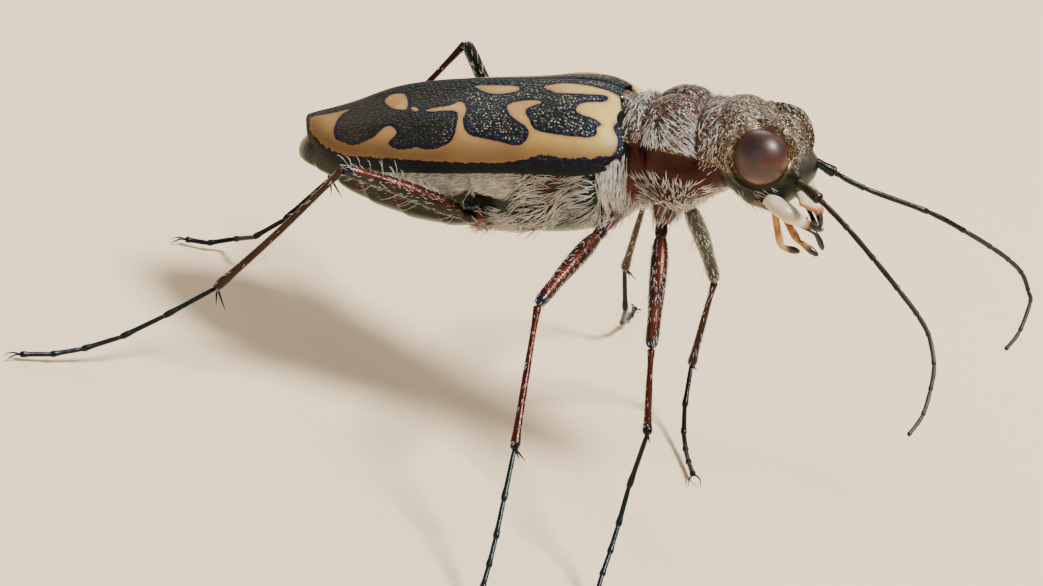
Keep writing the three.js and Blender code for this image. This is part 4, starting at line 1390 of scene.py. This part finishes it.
class Coat:
    """Tapered, curved hairs gathered into one mesh. Each has a small patch of its own in the bake's map."""

    SIDES = 3
    SHARES = np.array([0.0, 0.35, 0.7])
    DRAWS = 90000
    PATCH = 0.003  # of the bake's map, a side
    ZONE = 0.25  # of the bake's map, for each surface that hair grows on

    def __init__(self, seed):
        self.rng = np.random.default_rng(seed)
        self.points, self.spots = [], []
        self.zones = 0

    def scatter(self, surface, count, density):
        """Roots on a surface, as dense as density(points) says, from 0 to 1."""
        along, turn = self.rng.uniform(0.02, 0.98, self.DRAWS), self.rng.random(self.DRAWS)
        point, normal, area = lay(surface, along, turn)
        wanted = area * np.clip(density(point), 0, 1)
        chosen = np.flatnonzero(self.rng.random(self.DRAWS) * np.percentile(area, 99) < wanted)[:count]
        return point[chosen], normal[chosen], np.stack([along, turn], 1)[chosen]

    def grow(self, roots, normals, places, lie, length, radius, lift=0.3, droop=0.5, wave=0.1, swirl=0.25):
        """Hairs at the roots. lie(points) is the way that they point, along the skin.

        lift raises them off it, droop bends them back to it, and swirl turns neighbours together."""
        count = len(roots)
        x, y, z = roots.T
        turn = swirl * np.stack(
            [np.sin(4.3 * x + 2.1 * z + y), np.sin(3.1 * z - 2.7 * x), np.sin(5.2 * x - 3.7 * z + 1.3)], 1
        )
        way = lie(roots) + turn + self.rng.normal(0, 0.12, (count, 3))
        way = unit(way - normals * np.sum(way * normals, 1, keepdims=True))
        aside = np.cross(normals, way)
        long = length * self.rng.uniform(0.7, 1.2, count)
        raised = lift * self.rng.uniform(0.5, 1.4, count)
        sway = wave * self.rng.normal(0, 1, count)
        shares = np.append(self.SHARES, 1.0)[None, :, None]

        def column(values):
            return values[:, None, None]

        out = column(raised) * (shares - droop * shares**2)
        line = roots[:, None] - normals[:, None] * 0.01
        line = line + column(long) * (
            way[:, None] * shares + normals[:, None] * out + aside[:, None] * column(sway) * shares**2
        )
        angles = 2 * math.pi * np.arange(self.SIDES) / self.SIDES
        thick = radius * self.rng.uniform(0.75, 1.2, count)
        taper = (1 - self.SHARES**2 * 0.8)[None, :, None, None]
        across = aside[:, None, None] * np.cos(angles)[None, None, :, None]
        upward = normals[:, None, None] * np.sin(angles)[None, None, :, None]
        rings = line[:, :-1, None] + (across + upward) * taper * thick[:, None, None, None]
        self.points.append(np.concatenate([rings.reshape(count, -1, 3), line[:, -1:]], 1))
        corner = np.array([self.zones % 4, self.zones // 4 % 4]) * self.ZONE
        self.spots.append(corner + 0.005 + places * (self.ZONE - 0.015))
        self.zones += 1

    def mesh(self, name):
        points, spots = np.concatenate(self.points), np.concatenate(self.spots)
        count, each = points.shape[:2]
        rings, sides = len(self.SHARES), self.SIDES
        faces = [list(range(sides))[::-1]]
        for ring in range(rings - 1):
            for k in range(sides):
                a, b = ring * sides + k, ring * sides + (k + 1) % sides
                faces += [[a, b, b + sides], [a, b + sides, a + sides]]
        last = (rings - 1) * sides
        faces += [[last + k, last + (k + 1) % sides, each - 1] for k in range(sides)]
        faces = np.array(faces)
        corners = (faces[None] + (np.arange(count) * each)[:, None, None]).reshape(-1, 3)
        mesh = bpy.data.meshes.new(name)
        mesh.vertices.add(count * each)
        mesh.vertices.foreach_set("co", points.reshape(-1))
        mesh.loops.add(corners.size)
        mesh.loops.foreach_set("vertex_index", corners.reshape(-1))
        mesh.polygons.add(len(corners))
        mesh.polygons.foreach_set("loop_start", np.arange(0, corners.size, 3))
        mesh.update(calc_edges=True)
        around = np.arange(each) % sides / sides
        up = np.minimum(np.arange(each) // sides / rings, 1)
        local = np.stack([around, up], 1) * self.PATCH
        uv = (spots[:, None] + local[None]).reshape(-1, 2)[corners.reshape(-1)]
        layer = mesh.uv_layers.new(name="OFBake")
        layer.data.foreach_set("uv", uv.reshape(-1))
        return mesh


def lying(*stops, by=0):
    """A lie of the hair that changes along x (by=0) or z (by=2): stops are (place, (x, outward, z))."""
    curves = [profile(*((place, way[k]) for place, way in stops)) for k in range(3)]

    def lie(points):
        x, out, z = (curve(points[:, by]) for curve in curves)
        return np.stack([x, out * np.sign(points[:, 1]), z], 1)

    return lie


def steady(x, out, z):
    return lying((0, (x, out, z)), (1, (x, out, z)))


def between(points, x_low, x_high, z_low, z_high, soft=0.08):
    """1 inside that stretch of the side, fading out over a soft edge."""
    x, _, z = points.T
    inside = step(x, x_low - soft, x_low + soft) * step(-x, -x_high - soft, -x_high + soft)
    return inside * step(z, z_low - soft, z_low + soft) * step(-z, -z_high - soft, -z_high + soft)


# The lower edge of the short felt on the belly's side, by the place along it
felt_edge = profile(
    (-6.3, -0.3), (-5.8, -0.38), (-5.3, -0.5), (-4.8, -0.71), (-4.2, -0.91), (-3.9, -0.7), (-3.4, -0.85),
    (-2.95, -0.97), (-2.45, -0.7), (-2.2, -0.6),
)


def felt(points):
    x, _, z = points.T
    return between(points, -6.25, -2.3, -1.2, 0.3) * step(z - felt_edge(x), -0.03, 0.06)


def rear_felt(points):
    return 0.8 * between(points, -7.3, -5.7, -1.2, 0.25, 0.3) + 0.3 * between(points, -5.7, -4.9, -1.3, -0.8)


def breast_side(points):
    bare = between(points, -1.55, -0.85, -0.62, -0.32, 0.12)
    return between(points, -2.5, -0.35, -1.75, 0.1) * (1 - 0.8 * bare)


def hollow(points):
    """1 where skin isn't in the dark hollow above the hind hip."""
    return 1 - step(recess(points[:, 0], points[:, 2]), 0.05, 0.25)


def disc_sides(points):
    x, y, z = points.T
    above = step(z - flank_edge(x), 0.1, 0.2)
    return above * (0.1 + 0.9 * step(-z, -1.15, -0.45)) * step(np.abs(y), 0.4, 1.0) * (x > 0.92) * (x < 2.25)


def front_collar(points):
    x, _, z = points.T
    return step(z, -0.65, -0.4) * step(x, 2.3, 2.42) * (0.35 + 0.65 * step(-z, -0.9, -0.3))


def rear_collar(points):
    x, _, z = points.T
    return step(z - flank_edge(x), 0.0, 0.08) * step(-x, -0.88, -0.78)


def flank_low(points):
    x, _, z = points.T
    return step(flank_edge(x) - z, 0.78, 1.0) * step(z, -1.5, -1.3)


def breastbone(points):
    return step(-points[:, 2], 1.15, 1.4) * (points[:, 0] < 2.3)


class BEETLE_OT_coat(bpy.types.Operator):
    """Grows the white hair on the trunk, the head and the legs"""

    bl_idname = "beetle.coat"
    bl_label = "Hair"

    def execute(self, context):
        coat = context.scene.beetle_coat
        self.thick, self.long, self.dense = coat.thickness, coat.length, coat.density
        self.seed = coat.seed
        self.trunk()
        self.limbs()
        return {"FINISHED"}

    def patch(self, coat, surface, count, where, lie, length, coarse=1.0, **shape):
        roots, normals, places = coat.scatter(surface, int(count * self.dense), where)
        coat.grow(roots, normals, places, lie, length * self.long, coarse * self.thick, **shape)

    def piece(self, name, patches, slot="haired_underside", place=TO_TRUNK):
        """One mesh of hair from rows of (surface, count, where, lie, length, other settings)."""
        self.seed += 1
        coat = Coat(self.seed)
        for surface, count, where, lie, length, shape in patches:
            self.patch(coat, surface, count, where, lie, length, **shape)
        settle(coat.mesh(name), name, place, library()["seta"], slot)

    def trunk(self):
        front, hind = trunk_surface(PROTHORAX), trunk_surface(PTEROTHORAX)
        belly, skull = trunk_surface(ABDOMEN), trunk_surface(HEAD)
        backward = steady(-1, 0, -0.12)
        breast_lie = lying((-1.9, (-0.8, 0, -0.55)), (-1.2, (-0.95, 0, -0.35)), (-0.5, (-1, 0, -0.05)), by=2)
        disc_lie = lying((0.9, (0.15, 0, -1)), (1.5, (0.6, 0, -0.8)), (2.3, (0.6, 0, -0.8)))
        flank_lie = lying(
            (0.3, (-0.5, 0, 0.85)), (1.0, (-0.3, 0, 0.95)), (1.5, (0.1, 0, 1)), (2.1, (0.8, 0, 0.5))
        )

        def bundle(p):
            return between(p, -0.35, 0.4, -1.6, 0.05)

        def hip(p):
            return between(p, -3.3, -2.5, -2.2, -1.35)

        def breast(p):
            return breast_side(p) * hollow(p)

        def cheeks(p):
            x, y, z = p.T
            return step(-z, 0.85, 1.0) * (x < 4.3) * (np.abs(y) > 0.3)

        def temples(p):
            return between(p, 2.7, 3.3, -0.5, 0.6)

        self.piece("breast_hair", [
            (hind, 1080, breast, breast_lie, 0.5, {"lift": 0.3, "swirl": 0.4, "wave": 0.2}),
            (hind, 850, bundle, steady(-0.15, 0, -1), 0.5, {"lift": 0.3, "swirl": 0.15}),
            (hind, 420, hip, steady(-1, 0.1, -0.1), 0.5, {"lift": 0.3}),
        ])
        self.piece("felt_hair", [
            (hind, 3000, felt, backward, 0.22, {"lift": 0.12, "coarse": 0.8, "swirl": 0.08}),
            (belly, 5200, felt, backward, 0.22, {"lift": 0.12, "coarse": 0.8, "swirl": 0.08}),
            (belly, 1100, rear_felt, steady(-1, 0, -0.35), 0.14, {"lift": 0.1, "coarse": 0.5, "swirl": 0.1}),
        ])
        self.piece("thorax_hair", [
            (front, 500, disc_sides, disc_lie, 0.27, {"lift": 0.3, "coarse": 0.9}),
            (front, 330, front_collar, steady(0.6, 0, 0.8), 0.26, {"lift": 0.35, "coarse": 0.9}),
            (front, 230, rear_collar, steady(0.3, 0, 0.9), 0.26, {"lift": 0.3, "coarse": 0.9}),
            (front, 800, flank_low, flank_lie, 0.36, {"lift": 0.4, "swirl": 0.3}),
            (front, 700, breastbone, steady(0.25, 0, -1), 0.4, {"lift": 0.5}),
        ])
        self.piece("head_hair", [
            (skull, 100, cheeks, steady(0.6, 0.1, -0.7), 0.28, {"lift": 0.6, "coarse": 0.55}),
            (skull, 120, temples, steady(0.5, 0, 0.6), 0.22, {"lift": 0.3, "coarse": 0.7}),
        ])

    def limbs(self):
        def everywhere(points):
            return np.ones(len(points))

        for side_name in SIDES:
            patches = []
            for pair in PAIRS:
                root, hip, knee, ankle, _ = leg_joints(pair, side_name)
                base, thigh, shin = leg_surfaces(pair, side_name)
                number = LEGS[pair]["bristles"]

                def down(way):
                    return lambda points: np.tile(way, (len(points), 1))

                ridge = self.ridge(unit(np.cross(np.cross(knee - hip, (0, 0, 1)), knee - hip)), hip, knee)
                patches += [
                    (base, 160, everywhere, down(unit(hip - root)), 0.4, {"lift": 0.35}),
                    (thigh, 260, everywhere, down(unit(knee - hip)), 0.17, {"lift": 0.7, "coarse": 0.5}),
                    (thigh, number * 3, ridge, down(unit(knee - hip)), 0.3, {"lift": 2.2, "coarse": 0.9}),
                    (shin, 75, everywhere, down(unit(ankle - knee)), 0.15, {"lift": 0.7, "coarse": 0.55}),
                ]
            self.piece(f"limb_hair_{side_name}", patches, "leg", TO_FLOOR)

    def ridge(self, up, hip, knee):
        """Picks the lines along the top and the bottom of a thigh."""

        def where(points):
            middle = hip + (points - hip) @ unit(knee - hip)[:, None] * unit(knee - hip)
            return (np.abs(unit(points - middle) @ up) > 0.9).astype(float)

        return where


# Stage


class BEETLE_OT_stage(bpy.types.Operator):
    """Sets the floor, the studio lights and the camera"""

    bl_idname = "beetle.stage"
    bl_label = "Stage"

    AIM = (-0.00025, -0.00158, 0.00492)  # where the photo's middle falls, in metres
    LENS = 236.1  # mm on a sensor 36 mm wide
    LAMP_AIM = Vector((0, 0, 0.005))
    SKY_STRENGTH = 0.42

    def execute(self, context):
        view = context.scene.beetle_camera
        bm = bmesh.new()
        bmesh.ops.create_grid(bm, x_segments=1, y_segments=1, size=1.2)
        mesh = bpy.data.meshes.new("floor")
        bm.to_mesh(mesh)
        bm.free()
        mesh.materials.append(library()["floor"])
        floor = bpy.data.objects.new("floor", mesh)
        context.scene.collection.objects.link(floor)

        az, el = view.azimuth, view.elevation
        back = Vector((math.sin(az) * math.cos(el), -math.cos(az) * math.cos(el), math.sin(el)))
        level = Vector((math.cos(az), math.sin(az), 0))
        upright = back.cross(level)
        right = level * math.cos(view.roll) + upright * math.sin(view.roll)
        above = back.cross(right)
        data = bpy.data.cameras.new("camera")
        data.sensor_width, data.lens = 36, self.LENS
        data.clip_start, data.clip_end = 0.01, 10
        camera = bpy.data.objects.new("camera", data)
        place = Matrix((right, above, back)).transposed().to_4x4()
        place.translation = Vector(self.AIM) + back * view.distance
        camera.matrix_world = place
        context.scene.collection.objects.link(camera)
        context.scene.camera = camera

        self.lamp("key", (0.14, 0.0, 0.28), 0.08, 1.75)
        self.lamp("fill", (-0.05, -0.3, 0.12), 0.25, 0.16)
        self.lamp("rim", (-0.12, 0.25, 0.2), 0.2, 0.35)
        world = bpy.data.worlds.new("studio")
        world.use_nodes = True
        ground = world.node_tree.nodes["Background"]
        ground.inputs["Color"].default_value = paint("#f2e9dc")
        ground.inputs["Strength"].default_value = self.SKY_STRENGTH
        context.scene.world = world
        return {"FINISHED"}

    def lamp(self, name, place, size, power):
        data = bpy.data.lights.new(name, "AREA")
        data.shape, data.size, data.energy = "DISK", size, power
        lamp = bpy.data.objects.new(name, data)
        lamp.location = place
        lamp.rotation_euler = (self.LAMP_AIM - Vector(place)).to_track_quat("-Z", "Y").to_euler()
        bpy.context.scene.collection.objects.link(lamp)


class BEETLE_PT_panel(bpy.types.Panel):
    """Lists the beetle's pieces in the sidebar"""

    bl_idname = "BEETLE_PT_panel"
    bl_label = "Tiger beetle"
    bl_space_type = "VIEW_3D"
    bl_region_type = "UI"
    bl_category = "Beetle"

    def draw(self, context):
        for operator in OPERATORS:
            self.layout.operator(operator.bl_idname)
        for group in (context.scene.beetle_coat, context.scene.beetle_camera):
            for name in group.__annotations__:
                self.layout.prop(group, name)


OPERATORS = (
    BEETLE_OT_stage,
    BEETLE_OT_wing_cases,
    BEETLE_OT_trunk,
    BEETLE_OT_head,
    BEETLE_OT_mouthparts,
    BEETLE_OT_feelers,
    BEETLE_OT_legs,
    BEETLE_OT_coat,
)
CLASSES = (BeetleCoat, BeetleCamera, *OPERATORS, BEETLE_PT_panel)


def register():
    for cls in CLASSES:
        bpy.utils.register_class(cls)
    bpy.types.Scene.beetle_coat = bpy.props.PointerProperty(type=BeetleCoat)
    bpy.types.Scene.beetle_camera = bpy.props.PointerProperty(type=BeetleCamera)


def unregister():
    del bpy.types.Scene.beetle_camera
    del bpy.types.Scene.beetle_coat
    for cls in reversed(CLASSES):
        bpy.utils.unregister_class(cls)


def main():
    register()
    for operator in OPERATORS:
        group, name = operator.bl_idname.split(".")
        getattr(getattr(bpy.ops, group), name)()


if __name__ == "__main__":
    main()
